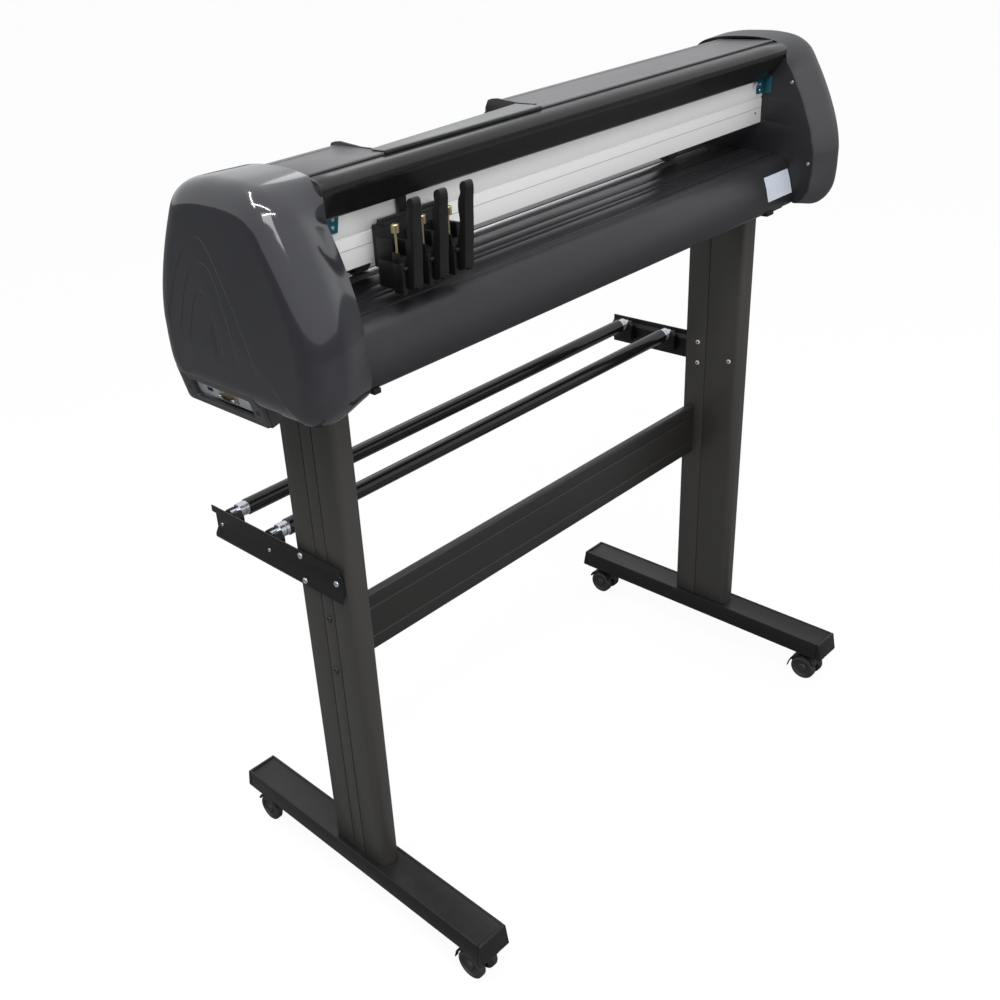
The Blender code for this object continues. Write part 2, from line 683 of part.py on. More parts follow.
def make_hood():
    """Thin black cover over the rail, notched from the rear for the lift handle."""
    path = hood_path()
    inside = offset_path(path, -HOOD_WALL)
    hood = outline("hood", [lifted(path + list(reversed(inside)))], 2 * SPAN_X, "black_paint", "x")
    low, high = BODY_BASE + HOOD_LIP[1] - 0.02, BODY_BASE + HOOD_TOP + 0.02
    notch = box("notch", (NOTCH_X[0], NOTCH_FRONT_Y, low), (NOTCH_X[1], HOOD_REAR_Y + 0.05, high), None)
    return cut(hood, notch)


def make_top_cover():
    """Flat grey lid, notched like the hood."""
    low = BODY_BASE + HOOD_TOP + GAP
    lid = box("top_cover", (-SPAN_X, TOP_FRONT_Y, low), (SPAN_X, TOP_REAR_Y, low + TOP_THICK), "top_grey")
    start, end = (NOTCH_X[0], NOTCH_FRONT_Y, low - 0.01), (NOTCH_X[1], TOP_REAR_Y + 0.01, low + 0.01)
    cut(lid, box("lid_notch", start, end, None))


def make_recess_tray():
    """Lining of the notch: floor, front wall, two eared cheeks and a trim strip along the front."""
    (x0, x1), y0 = NOTCH_X, NOTCH_FRONT_Y
    x0, x1, y0 = x0 + GAP, x1 - GAP, y0 + GAP
    w, floor = NOTCH_WALL, BODY_BASE + NOTCH_FLOOR
    rear = TOP_REAR_Y + 0.012
    top = BODY_BASE + HOOD_TOP + TOP_THICK + 2 * GAP
    tray = box("recess_tray", (x0, y0, floor), (x1, rear, floor + w), "black_paint")
    front = box("tray_front", (x0, y0, floor), (x1, y0 + w, top + TRIM_THICK / 2), None)
    start, end = x0 - 2 * w, x0 + TRIM_LENGTH
    strip = [(start, TRIM_FRONT_Y), (end, TRIM_FRONT_Y), (end, TRIM_REAR_Y), (start, y0 + 2 * w)]
    trim = outline("trim", [strip], TRIM_THICK, None, "z", (0, 0, top + TRIM_THICK / 2))
    ear, peak = NOTCH_EAR_Y, top + NOTCH_EAR_RISE
    cheek = [(y0 + w / 2, floor), (rear, floor), (ear + 0.0155, top - 0.008), (ear + 0.0110, top + 0.001)]
    cheek += [(ear + 0.0060, peak - 0.001), (ear - 0.0030, peak)]
    cheek += [(ear - 0.0360, top + TRIM_THICK / 4), (y0 + w / 2, top + TRIM_THICK / 4)]
    cheeks = [outline("cheek", [cheek], w, None, "x", (x + w / 2, 0, 0)) for x in (x0, x1 - w)]
    return join(tray, front, trim, *cheeks)


def make_rail_brackets():
    """Small L brackets that tie the rail's upper band to the side plates."""
    for side, sign in (("left", -1), ("right", 1)):
        y = RAIL_FRONT_Y - GAP
        x_in, x_out = SPAN_X - TAB_LENGTH, SPAN_X - GAP
        low = BODY_BASE + RAIL_GROOVE_Z + 0.0070
        xs = sorted((sign * x_in, sign * x_out))
        face = box("face", (xs[0], y - TAB_THICK, low), (xs[1], y, low + TAB_HEIGHT), None)
        xs = sorted((sign * (x_out - TAB_THICK), sign * x_out))
        near, far = (xs[0], y - TAB_FOLD, low), (xs[1], y, low + TAB_HEIGHT)
        join(box(f"rail_bracket_{side}", near, far, "teal_bracket"), face)


# ---------------------------------------------------------------- media drive
def make_media_drive():
    neck_tip = PLATE_X + GRIT_REACH
    shoulder = SPAN_X - SLOT_END - 0.002
    profile = [(0, neck_tip), (GRIT_NECK, neck_tip), (GRIT_NECK, shoulder), (GRIT_RADIUS, shoulder)]
    profile += [(a, -b) for a, b in reversed(profile)]
    axis = (0, GRIT_Y, BODY_BASE + GRIT_Z)
    turned("grit_shaft", axis, "x", profile, "steel", 24)
    trough = rod("trough", axis, "x", GRIT_NECK + GAP, 2 * SPAN_X + 0.01, None, 16)
    cut(bpy.data.objects["platen"], trough)
    rod("pinch_rod", (0, PIVOT_Y, BODY_BASE + PIVOT_Z), "x", PIVOT_RADIUS, 2 * (PLATE_X + 0.003), "steel", 16)
    for side, sign in (("left", -1), ("right", 1)):
        make_pinch_arm(side, sign * PINCH_X)
    make_lift_lever()


def make_pinch_arm(side, x):
    """Fork that swings on the pivot rod and holds a pinch roller on the grit shaft."""
    boss = PIVOT_RADIUS + 0.0045
    tail_y, tail_z = LEVER_Y + 0.004, LEVER_Z - CAM_RADIUS - 2 * GAP
    face = [
        (GRIT_Y - 0.0045, PINCH_Z - 0.0045), (GRIT_Y + 0.0060, PINCH_Z - 0.0050),
        (PIVOT_Y, PIVOT_Z - boss - 0.004), (tail_y, tail_z - 0.005), (tail_y, tail_z),
        (LEVER_Y - 0.012, tail_z), (PIVOT_Y + 0.004, PIVOT_Z + boss),
        (PIVOT_Y - 0.004, PIVOT_Z + boss), (PIVOT_Y - boss - 0.0015, PIVOT_Z - 0.008),
        (GRIT_Y + 0.004, PINCH_Z + 0.0055), (GRIT_Y - 0.0045, PINCH_Z + 0.0050),
    ]
    holes = [
        arc((GRIT_Y, PINCH_Z), PINCH_PIN + GAP, 360, 22.5, 15),
        arc((PIVOT_Y, PIVOT_Z), PIVOT_RADIUS + GAP, 360, 22.5, 15),
    ]
    loops = [lifted(face), *map(lifted, holes)]
    arm = outline(f"pinch_arm_{side}", loops, ARM_WIDTH, "nylon", "x", (x, 0, 0))
    half = PINCH_WIDTH / 2 + 2 * GAP
    room = PINCH_RADIUS + 0.0015
    axle_z = BODY_BASE + PINCH_Z
    low = (x - half, GRIT_Y - room - 0.01, axle_z - room - 0.01)
    high = (x + half, GRIT_Y + room, axle_z + room)
    cut(arm, box("window", low, high, None))
    pivoted(arm, (x, PIVOT_Y, BODY_BASE + PIVOT_Z))
    half_w, tip = PINCH_WIDTH / 2, ARM_WIDTH / 2 - 0.0005
    profile = [(0, tip), (PINCH_PIN, tip), (PINCH_PIN, half_w), (PINCH_RADIUS, half_w)]
    profile += [(a, -b) for a, b in reversed(profile)]
    turned(f"pinch_roller_{side}", (x, GRIT_Y, BODY_BASE + PINCH_Z), "x", profile, "rubber", 24)


def make_lift_lever():
    """Cross shaft with two cams over the arms and a flat handle behind the notch."""
    centre_z = BODY_BASE + LEVER_Z
    shaft = rod("lift_lever", (0, LEVER_Y, centre_z), "x", LEVER_RADIUS, 2 * (PLATE_X + 0.003), "steel", 16)
    pieces = []
    for sign in (-1, 1):
        cam = arc((LEVER_Y, LEVER_Z), CAM_RADIUS, 270, 90, 6)
        cam += [(LEVER_Y + CAM_REACH, LEVER_Z + 0.002), (LEVER_Y + CAM_REACH, LEVER_Z - 0.002)]
        pieces.append(outline("cam", [lifted(cam)], CAM_WIDTH, None, "x", (sign * PINCH_X, 0, 0)))
    mid = (NOTCH_X[0] + NOTCH_X[1]) / 2
    hub = rod("hub", (mid, LEVER_Y, centre_z), "x", CAM_RADIUS, LEVER_HUB, None, 20)
    handle = [(-0.0030, 0.002), (0.0050, 0.002), (0.0090, 0.016)]
    handle += [(0.0200, 0.022), (0.0180, 0.026), (0.0050, 0.020)]
    handle = [(LEVER_Y + across, LEVER_Z + up) for across, up in handle]
    grip = outline("grip", [lifted(handle)], LEVER_HANDLE, None, "x", (mid, 0, 0))
    join(shaft, hub, grip, *pieces)


def make_motors():
    x_face = -(PLATE_X + GAP)
    low_y, low_z = GRIT_Y - MOTOR_SIDE / 2, BODY_BASE + GRIT_Z - MOTOR_SIDE / 2
    low, high = (x_face - MOTOR_LENGTH, low_y, low_z), (x_face, low_y + MOTOR_SIDE, low_z + MOTOR_SIDE)
    motor = box("feed_motor", low, high, "black_paint")
    bmesh_bevel_vertical(motor, 0.004, "x")
    mouth = (x_face, GRIT_Y, BODY_BASE + GRIT_Z)
    cut(motor, rod("bore", mouth, "x", GRIT_NECK + GAP, 2 * (GRIT_REACH + GAP), None, 16))
    half = CARRIAGE_MOTOR_SIDE / 2
    top = BODY_BASE + MOTOR_TOP
    low = (DRIVE_X - half, PULLEY_Y - half, top - CARRIAGE_MOTOR_LENGTH)
    second = box("carriage_motor", low, (DRIVE_X + half, PULLEY_Y + half, top), "black_paint")
    bmesh_bevel_vertical(second, 0.003, "z")
    well = rod("well", (DRIVE_X, PULLEY_Y, top), "z", PULLEY_SHAFT + GAP, 0.016, None, 16)
    cut(second, well)


def bmesh_bevel_vertical(piece, radius, axis):
    """Chamfers the four edges of a box that run along one axis."""
    index = "xyz".index(axis)
    bm = bmesh.new()
    bm.from_mesh(piece.data)
    along = [e for e in bm.edges if abs((e.verts[0].co - e.verts[1].co).normalized()[index]) > 0.9]
    bmesh.ops.bevel(bm, geom=along, offset=radius, segments=1, profile=0.5, affect="EDGES")
    bm.to_mesh(piece.data)
    bm.free()


# ---------------------------------------------------------------- carriage drive
def make_pulley(name, x, shaft_low):
    flange, half = PULLEY_RADIUS + PULLEY_FLANGE, BELT_WIDTH / 2 + 0.0005
    profile = [(0, half + 0.001), (flange, half + 0.001), (flange, half), (PULLEY_RADIUS, half)]
    profile += [(PULLEY_RADIUS, -half), (flange, -half), (flange, -half - 0.001)]
    profile += [(PULLEY_SHAFT, -half - 0.001), (PULLEY_SHAFT, shaft_low - BELT_Z), (0, shaft_low - BELT_Z)]
    turned(name, (x, PULLEY_Y, BODY_BASE + BELT_Z), "z", profile, "aluminium", 24)


def make_belt_drive():
    make_pulley("drive_pulley", DRIVE_X, MOTOR_TOP - 0.0075)
    make_pulley("idler_pulley", IDLER_X, RAIL_TOP - RAIL_WALL + 0.0006)
    seat = (IDLER_X, PULLEY_Y, BODY_BASE + RAIL_TOP)
    cut(bpy.data.objects["guide_rail"], rod("idler_seat", seat, "z", PULLEY_SHAFT + GAP, 0.020, None, 16))
    inner = PULLEY_RADIUS + GAP
    outer = inner + BELT_THICK
    rings = []
    for r in (outer, inner):
        rings.append(arc((DRIVE_X, PULLEY_Y), r, 270, 90, 10) + arc((IDLER_X, PULLEY_Y), r, 90, -90, 10))
    outline("drive_belt", rings, BELT_WIDTH - 0.0004, "rubber", "z", (0, 0, BODY_BASE + BELT_Z))


# ---------------------------------------------------------------- carriage
def station_x(index):
    return STATION_X + index * STATION_PITCH


def make_carriage():
    """Tool block with three stations on the rail's front, and an arm up to the belt."""
    x0, x1 = CARRIAGE_X
    z0, z1 = (BODY_BASE + z for z in CARRIAGE_Z)
    rail_top, belt_z = BODY_BASE + RAIL_TOP, BODY_BASE + BELT_Z
    back = RAIL_FRONT_Y - 0.0012
    front = -0.0700
    block = box("carriage", (x0, front, z0 + 0.020), (x1, back, z1), "nylon")
    shelf = box("shelf", (x0 + 0.004, -0.0800, z0 + 0.020), (x1 - 0.004, front + 0.002, z0 + 0.034), None)
    extra = [shelf]
    for index in range(STATION_COUNT):
        x = station_x(index)
        left, rear = x - 0.0060, front + 0.004
        extra.append(box("column", (left, -0.1030, z0), (x + 0.0215, rear, z0 + 0.038), None))
        extra.append(box("neck", (left, -0.1010, z0 + 0.036), (x - 0.0008, rear, z0 + 0.0535), None))
        extra.append(box("table", (left, -0.1010, z0 + 0.046), (x + 0.0020, rear, z0 + 0.054), None))
    arm_x = station_x(1) + LEVER_OFFSET
    arm_back, arm_front = -0.0525, -0.0555
    reach = PULLEY_Y - PULLEY_RADIUS - BELT_THICK - 2 * GAP - 0.0001
    arm = [
        (arm_front, z1 - 0.010), (arm_back, z1 - 0.010), (arm_back, rail_top + 0.0025),
        (reach - 0.004, rail_top + 0.0025), (reach - 0.004, belt_z - 0.003), (reach, belt_z - 0.003),
        (reach, belt_z + 0.003),
        (reach - 0.007, belt_z + 0.003), (reach - 0.007, rail_top + 0.0055), (arm_front, rail_top + 0.0055),
    ]
    extra.append(outline("arm", [arm], 0.012, None, "x", (arm_x, 0, 0)))
    join(block, *extra)
    y, z = CLAMP_PIVOT[0], BODY_BASE + CLAMP_PIVOT[1]
    holes = []
    for index in range(STATION_COUNT):
        x = station_x(index)
        holes.append(rod("screw_hole", (x, SCREW_Y, z0 + 0.044), "z", SCREW_RADIUS + GAP, 0.030, None, 12))
        mid = x + LEVER_OFFSET
        half = CLAMP_LEVER_WIDTH / 2 + 2 * GAP
        low, high = (mid - half, -0.12, z0 - 0.001), (mid + half, -0.0860, z0 + 0.060)
        holes.append(box("lever_slot", low, high, None))
        holes.append(rod("pin_hole", (mid, y, z), "x", CLAMP_PIN_RADIUS + GAP, 0.0235, None, 12))
    cut(block, *holes)


def make_clamp_lever(index):
    """Tall kinked lever on a cross pin: it presses the tool back and swings forward to free it."""
    x = station_x(index) + LEVER_OFFSET
    y, z = CLAMP_PIVOT[0], BODY_BASE + CLAMP_PIVOT[1]
    face = [
        (-0.1005, 0.0900), (-0.0975, 0.1020), (-0.0985, 0.1180), (-0.1050, 0.1330), (-0.1080, 0.1480),
        (-0.1045, 0.1600), (-0.1080, 0.1700), (-0.1125, 0.1830), (-0.1165, 0.1865), (-0.1185, 0.1830),
        (-0.1165, 0.1700), (-0.1200, 0.1560), (-0.1185, 0.1430), (-0.1120, 0.1250), (-0.1095, 0.1100),
        (-0.1080, 0.0930),
    ]
    lever = outline(f"clamp_lever_{index + 1}", [lifted(face)], CLAMP_LEVER_WIDTH, "nylon", "x", (x, 0, 0))
    pin = rod("pin", (x, y, z), "x", CLAMP_PIN_RADIUS, 0.0225, None, 12)
    join(lever, pin)
    pivoted(lever, (x, y, z))


def make_thumb_screw(index):
    """Knurled brass knob on a thin screw that sets the tool's depth."""
    x = station_x(index)
    base = BODY_BASE + CARRIAGE_Z[0]
    top, seat = base + SCREW_TOP, base + 0.0545
    knob, neck = 0.0042, 0.0030
    profile = [
        (0, top), (knob - 0.0006, top), (knob, top - 0.0006), (knob, top - 0.0085), (neck, top - 0.0092),
        (neck, seat + 0.0006), (SCREW_RADIUS, seat + 0.0006), (SCREW_RADIUS, base + SCREW_FOOT),
        (0, base + SCREW_FOOT),
    ]
    turned(f"thumb_screw_{index + 1}", (x, SCREW_Y, 0), "z", profile, "brass", 16)


# ---------------------------------------------------------------- rear connections
def panel_matrix(sign, y):
    """Frame of a connection panel low on an end cover: local z points outwards and down."""
    x, z = sign * (PLATE_X + COVER_LENGTHS["left"] - PANEL_INSET), BODY_BASE + PANEL_Z
    turn = Matrix.Rotation(sign * (math.pi / 2 + PANEL_TILT), 4, "Y")
    return Matrix.Translation((x, y, z)) @ turn


def panel_box(name, matrix, low, high, finish):
    piece = box(name, low, high, finish)
    piece.matrix_world = matrix @ piece.matrix_world
    return piece


def make_panels():
    """A tilted bezel with the data sockets on the left, and the power inlet on the right."""
    place = panel_matrix(-1, BODY_Y + PANEL_Y)
    half_h, half_l = PANEL_HEIGHT / 2, PANEL_LENGTH / 2
    low, high = (-half_h, -half_l, -PANEL_DEPTH), (half_h, half_l, 0)
    bezel = panel_box("interface_bezel", place, low, high, "nylon")
    low = (-half_h - GAP, -half_l - GAP, -PANEL_DEPTH - GAP)
    high = (half_h + GAP, half_l + GAP, PANEL_DEPTH)
    cut(bpy.data.objects["end_cover_left"], panel_box("bezel_hole", place, low, high, None))
    across, along = half_h - PANEL_RIM, half_l - PANEL_END
    pocket = panel_box("pocket", place, (-across, -along, -PANEL_FLOOR), (across, along, 0.01), None)
    ledge = 0.005
    low, high = (-across + ledge, -along + ledge, -0.03), (across - ledge, along - ledge, 0.01)
    cut(bezel, pocket, panel_box("way", place, low, high, None))
    across, along, top = across - GAP, along - GAP, -PANEL_FLOOR + GAP + 0.0015
    low, high = (-across, -along, -PANEL_FLOOR + GAP), (across, along, top)
    plate = panel_box("interface_plate", place, low, high, "light_plate")

    def socket_box(name, half, low, high, finish):
        (h, l), (half_a, half_b) = SOCKET_PLACE, half
        return panel_box(name, place, (h - half_a, l - half_b, low), (h + half_a, l + half_b, high), finish)

    room = tuple(half + 2 * GAP for half in SOCKET_SHELL)
    cut(plate, socket_box("socket_hole", room, -0.02, 0.01, None))
    socket = socket_box("serial_socket", SOCKET_SHELL, -0.0150, 0.0005, "brass")
    join(socket, socket_box("flange", SOCKET_FLANGE, top + GAP, top + GAP + 0.0011, None))
    make_power_inlet()


def make_power_inlet():
    """Mains inlet and rocker switch in the right cover's outer face."""
    x = PLATE_X + COVER_LENGTHS["right"]
    y, z = BODY_Y + 0.030, BODY_BASE + INLET_Z
    cover = bpy.data.objects["end_cover_right"]
    half_w, half_h, room = INLET_WIDTH / 2, INLET_HEIGHT / 2, 0.0005
    low = (x - 0.02, y - half_w - room, z - half_h - room)
    high = (x + 0.01, y + half_w + room, z + half_h + room)
    cut(cover, box("inlet_window", low, high, None))
    low, high = (x - INLET_DEPTH, y - half_w, z - half_h), (x - GAP, y + half_w, z + half_h)
    body = box("power_inlet", low, high, "nylon")
    mouth = box("mouth", (x - 0.016, y - 0.0205, z - 0.0100), (x + 0.01, y + 0.0020, z + 0.0100), None)
    well = box("rocker_well", (x - 0.016, y + 0.0070, z - 0.0100), (x + 0.01, y + 0.0200, z + 0.0100), None)
    cut(body, mouth, well)
    pivot = (x - 0.007, y + 0.0135, z)
    wedge = [(-0.0040, -0.0075), (0.0040, -0.0080), (0.0052, 0.0), (0.0040, 0.0080), (-0.0040, 0.0075)]
    wedge = [(pivot[0] + out, up) for out, up in wedge]
    rocker = outline("power_switch", [wedge], 0.0130 - 2 * GAP, "nylon", "z", (0, 0, 0))
    rocker.matrix_world = Matrix.Translation((0, pivot[1], z)) @ Matrix.Rotation(math.pi / 2, 4, "X")
    pivoted(rocker, pivot)


# ---------------------------------------------------------------- assembly
def build():
    for side, sign in (("left", -1), ("right", 1)):
        make_leg(side, sign)
        make_foot(side, sign)
        for end, front in (("front", -1), ("rear", 1)):
            make_foot_cap(side, sign, end, front)
            make_caster(side, sign, end, front)
        make_end_cover(side, sign)
        make_side_plate(side, sign)
    make_tie_bar()
    make_cradle()
    make_bed()
    make_rail()
    make_hood()
    make_top_cover()
    make_recess_tray()
    make_rail_brackets()
    make_media_drive()
    make_motors()
    make_belt_drive()
    make_carriage()
    for index in range(STATION_COUNT):
        make_clamp_lever(index)
        make_thumb_screw(index)
    make_panels()
    for piece in PARTS.objects:
        piece.location.x += CENTRE_X


build()
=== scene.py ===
"""A vinyl cutting plotter on a castored stand.

Finishes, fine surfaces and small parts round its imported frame.
"""

import logging
import math
from dataclasses import dataclass
from enum import Enum

import bpy
import numpy as np
from mathutils import Matrix, Vector


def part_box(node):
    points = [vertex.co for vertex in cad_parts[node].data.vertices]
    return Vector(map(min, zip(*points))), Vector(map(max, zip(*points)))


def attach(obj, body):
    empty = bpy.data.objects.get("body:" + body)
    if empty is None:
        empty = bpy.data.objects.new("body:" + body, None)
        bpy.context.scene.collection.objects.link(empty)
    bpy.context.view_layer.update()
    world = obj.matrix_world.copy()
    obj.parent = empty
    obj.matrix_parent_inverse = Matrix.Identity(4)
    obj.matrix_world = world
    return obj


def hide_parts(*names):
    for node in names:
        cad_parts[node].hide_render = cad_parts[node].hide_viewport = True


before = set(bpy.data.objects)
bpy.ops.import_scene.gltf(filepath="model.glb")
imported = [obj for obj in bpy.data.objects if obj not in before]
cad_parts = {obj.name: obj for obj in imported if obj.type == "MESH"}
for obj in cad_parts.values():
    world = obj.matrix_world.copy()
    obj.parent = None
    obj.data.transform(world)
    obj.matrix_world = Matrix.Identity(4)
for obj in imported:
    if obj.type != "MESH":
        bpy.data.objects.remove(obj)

LOG = logging.getLogger("vinyl_cutter")
Array = np.ndarray
Point = tuple[float, float, float]
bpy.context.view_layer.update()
MID_X = (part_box("guide_rail")[0].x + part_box("guide_rail")[1].x) / 2
BODY_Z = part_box("platen")[0].z
BODY_Y = (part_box("end_cover_left")[0].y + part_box("end_cover_left")[1].y) / 2
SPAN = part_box("guide_rail")[1].x - MID_X


# ------------------------------------------------------------------ effects shared by the finishes
class Effects:
    """Shader node groups that several finishes use, each built once."""

    @staticmethod
    def group(name: str, inputs: list[tuple[str, str, float]],
              outputs: list[tuple[str, str]]) -> bpy.types.NodeTree:
        """Starts a node group with its named sockets.

        Args:
            name: the group's name.
            inputs: name, socket type and default of each input.
            outputs: name and socket type of each output.

        Returns:
            The group's node tree, with an input and an output node in it.
        """
        tree = bpy.data.node_groups.new(name, "ShaderNodeTree")
        for label, kind, value in inputs:
            socket = tree.interface.new_socket(label, in_out="INPUT", socket_type=kind)
            if kind == "NodeSocketFloat":
                socket.default_value = value
        for label, kind in outputs:
            tree.interface.new_socket(label, in_out="OUTPUT", socket_type=kind)
        tree.nodes.new("NodeGroupInput").name = "in"
        tree.nodes.new("NodeGroupOutput").name = "out"
        return tree

    @classmethod
    def moulded_skin(cls) -> bpy.types.NodeTree:
        """Fine grain, slow drift of tone and handling marks in the gloss.

        Returns:
            The group; it puts out a colour, a roughness and a grain height.
        """
        name = "moulded_skin"
        if name in bpy.data.node_groups:
            return bpy.data.node_groups[name]
        number, colour, vector = "NodeSocketFloat", "NodeSocketColor", "NodeSocketVector"
        tree = cls.group(
            name,
            [("Vector", vector, 0.0), ("Colour", colour, 0.0), ("Roughness", number, 0.4),
             ("Grain Scale", number, 900.0),
             ("Drift", number, 0.1), ("Marks", number, 0.1)],
            [("Colour", colour), ("Roughness", number), ("Height", number)],
        )
        nodes, links = tree.nodes, tree.links
        start, end = nodes["in"], nodes["out"]
        grain = nodes.new("ShaderNodeTexNoise")
        grain.inputs["Detail"].default_value = 3.0
        links.new(start.outputs["Vector"], grain.inputs["Vector"])
        links.new(start.outputs["Grain Scale"], grain.inputs["Scale"])
        links.new(grain.outputs["Fac"], end.inputs["Height"])
        slow = nodes.new("ShaderNodeTexNoise")
        slow.inputs["Scale"].default_value = 9.0
        slow.inputs["Detail"].default_value = 4.0
        links.new(start.outputs["Vector"], slow.inputs["Vector"])
        centred = cls.maths(tree, "SUBTRACT", slow.outputs["Fac"], 0.5)
        drift = cls.maths(tree, "MULTIPLY", centred, start.outputs["Drift"])
        gain = cls.maths(tree, "ADD", drift, 1.0)
        toned = nodes.new("ShaderNodeVectorMath")
        toned.operation = "SCALE"
        links.new(start.outputs["Colour"], toned.inputs[0])
        links.new(gain, toned.inputs["Scale"])
        links.new(toned.outputs["Vector"], end.inputs["Colour"])
        smear = nodes.new("ShaderNodeTexNoise")
        smear.inputs["Scale"].default_value = 34.0
        smear.inputs["Detail"].default_value = 5.0
        smear.inputs["Distortion"].default_value = 0.6
        links.new(start.outputs["Vector"], smear.inputs["Vector"])
        spread = cls.maths(tree, "MULTIPLY", cls.maths(tree, "SUBTRACT", smear.outputs["Fac"], 0.5),
                           start.outputs["Marks"])
        links.new(cls.maths(tree, "ADD", start.outputs["Roughness"], spread), end.inputs["Roughness"])
        return tree

    @classmethod
    def settled_dust(cls) -> bpy.types.NodeTree:
        """Pale dust on faces that look up, broken up by noise.

        Returns:
            The group; it puts out a colour and a roughness.
        """
        name = "settled_dust"
        if name in bpy.data.node_groups:
            return bpy.data.node_groups[name]
        number, colour, vector = "NodeSocketFloat", "NodeSocketColor", "NodeSocketVector"
        tree = cls.group(
            name,
            [("Vector", vector, 0.0), ("Facing", vector, 0.0), ("Colour", colour, 0.0),
             ("Roughness", number, 0.4),
             ("Amount", number, 0.05)],
            [("Colour", colour), ("Roughness", number)],
        )
        nodes, links = tree.nodes, tree.links
        start, end = nodes["in"], nodes["out"]
        split = nodes.new("ShaderNodeSeparateXYZ")
        links.new(start.outputs["Facing"], split.inputs["Vector"])
        speck = nodes.new("ShaderNodeTexNoise")
        speck.inputs["Scale"].default_value = 60.0
        speck.inputs["Detail"].default_value = 6.0
        links.new(start.outputs["Vector"], speck.inputs["Vector"])
        up = cls.maths(tree, "MAXIMUM", split.outputs["Z"], 0.0)
        mask = cls.maths(tree, "MULTIPLY", cls.maths(tree, "MULTIPLY", up, speck.outputs["Fac"]),
                         start.outputs["Amount"])
        blend = nodes.new("ShaderNodeMix")
        blend.data_type = "RGBA"
        for socket, source in ((blend.inputs[0], mask), (blend.inputs[6], start.outputs["Colour"])):
            links.new(source, socket)
        blend.inputs[7].default_value = (0.42, 0.41, 0.39, 1.0)
        links.new(blend.outputs[2], end.inputs["Colour"])
        links.new(cls.maths(tree, "ADD", start.outputs["Roughness"], mask), end.inputs["Roughness"])
        return tree

    @staticmethod
    def maths(tree: bpy.types.NodeTree, operation: str, first: object,
              second: object) -> bpy.types.NodeSocket:
        """One Math node.

        Args:
            tree: the tree it goes in.
            operation: Blender's name for the sum.
            first: a socket or a number.
            second: a socket or a number.

        Returns:
            Its output socket.
        """
        node = tree.nodes.new("ShaderNodeMath")
        node.operation = operation
        for socket, value in zip(node.inputs, (first, second)):
            if isinstance(value, bpy.types.NodeSocket):
                tree.links.new(value, socket)
            else:
                socket.default_value = value
        return node.outputs[0]


class Grain(Enum):
    """How a finish's fine structure runs: its stretch along x, y and z."""

    EVEN = (1.0, 1.0, 1.0)
    DRAWN_ALONG_X = (0.012, 1.0, 1.0)
    DRAWN_ALONG_Y = (1.0, 0.012, 1.0)
    DRAWN_ALONG_Z = (1.0, 1.0, 0.012)


@dataclass(frozen=True)
class Finish:
    """One finish: its colour, its gloss and its fine structure."""

    name: str
    slot: str
    colour: Point
    roughness: float
    metallic: float = 0.0
    coat: float = 0.0
    specular: float = 0.5
    grain: Grain = Grain.EVEN
    grain_scale: float = 900.0
    grain_depth: float = 0.00002
    drift: float = 0.12
    marks: float = 0.08
    dust: float = 0.05

    def material(self) -> bpy.types.Material:
        """The finish's material, made at its first use.

        Returns:
            The material.
        """
        name = f"{self.name}_finish"
        found = bpy.data.materials.get(name)
        if found:
            return found
        made = bpy.data.materials.new(name)
        made.use_nodes = True
        tree = made.node_tree
        nodes, links = tree.nodes, tree.links
        shader = nodes["Principled BSDF"]
        shader.inputs["Metallic"].default_value = self.metallic
        shader.inputs["Coat Weight"].default_value = self.coat
        shader.inputs["Coat Roughness"].default_value = 0.06
        shader.inputs["Specular IOR Level"].default_value = self.specular
        place = nodes.new("ShaderNodeTexCoord")
        stretch = nodes.new("ShaderNodeMapping")
        stretch.inputs["Scale"].default_value = self.grain.value
        links.new(place.outputs["Object"], stretch.inputs["Vector"])
        skin = nodes.new("ShaderNodeGroup")
        skin.node_tree = Effects.moulded_skin()
        skin.inputs["Colour"].default_value = (*self.colour, 1.0)
        skin.inputs["Roughness"].default_value = self.roughness
        skin.inputs["Grain Scale"].default_value = self.grain_scale
        skin.inputs["Drift"].default_value = self.drift
        skin.inputs["Marks"].default_value = self.marks
        links.new(stretch.outputs["Vector"], skin.inputs["Vector"])
        dust = nodes.new("ShaderNodeGroup")
        dust.node_tree = Effects.settled_dust()
        dust.inputs["Amount"].default_value = self.dust
        links.new(place.outputs["Object"], dust.inputs["Vector"])
        links.new(place.outputs["Normal"], dust.inputs["Facing"])
        links.new(skin.outputs["Colour"], dust.inputs["Colour"])
        links.new(skin.outputs["Roughness"], dust.inputs["Roughness"])
        links.new(dust.outputs["Colour"], shader.inputs["Base Color"])
        links.new(dust.outputs["Roughness"], shader.inputs["Roughness"])
        bump = nodes.new("ShaderNodeBump")
        bump.inputs["Strength"].default_value = 1.0
        bump.inputs["Distance"].default_value = self.grain_depth
        links.new(skin.outputs["Height"], bump.inputs["Height"])
        links.new(bump.outputs["Normal"], shader.inputs["Normal"])
        return made


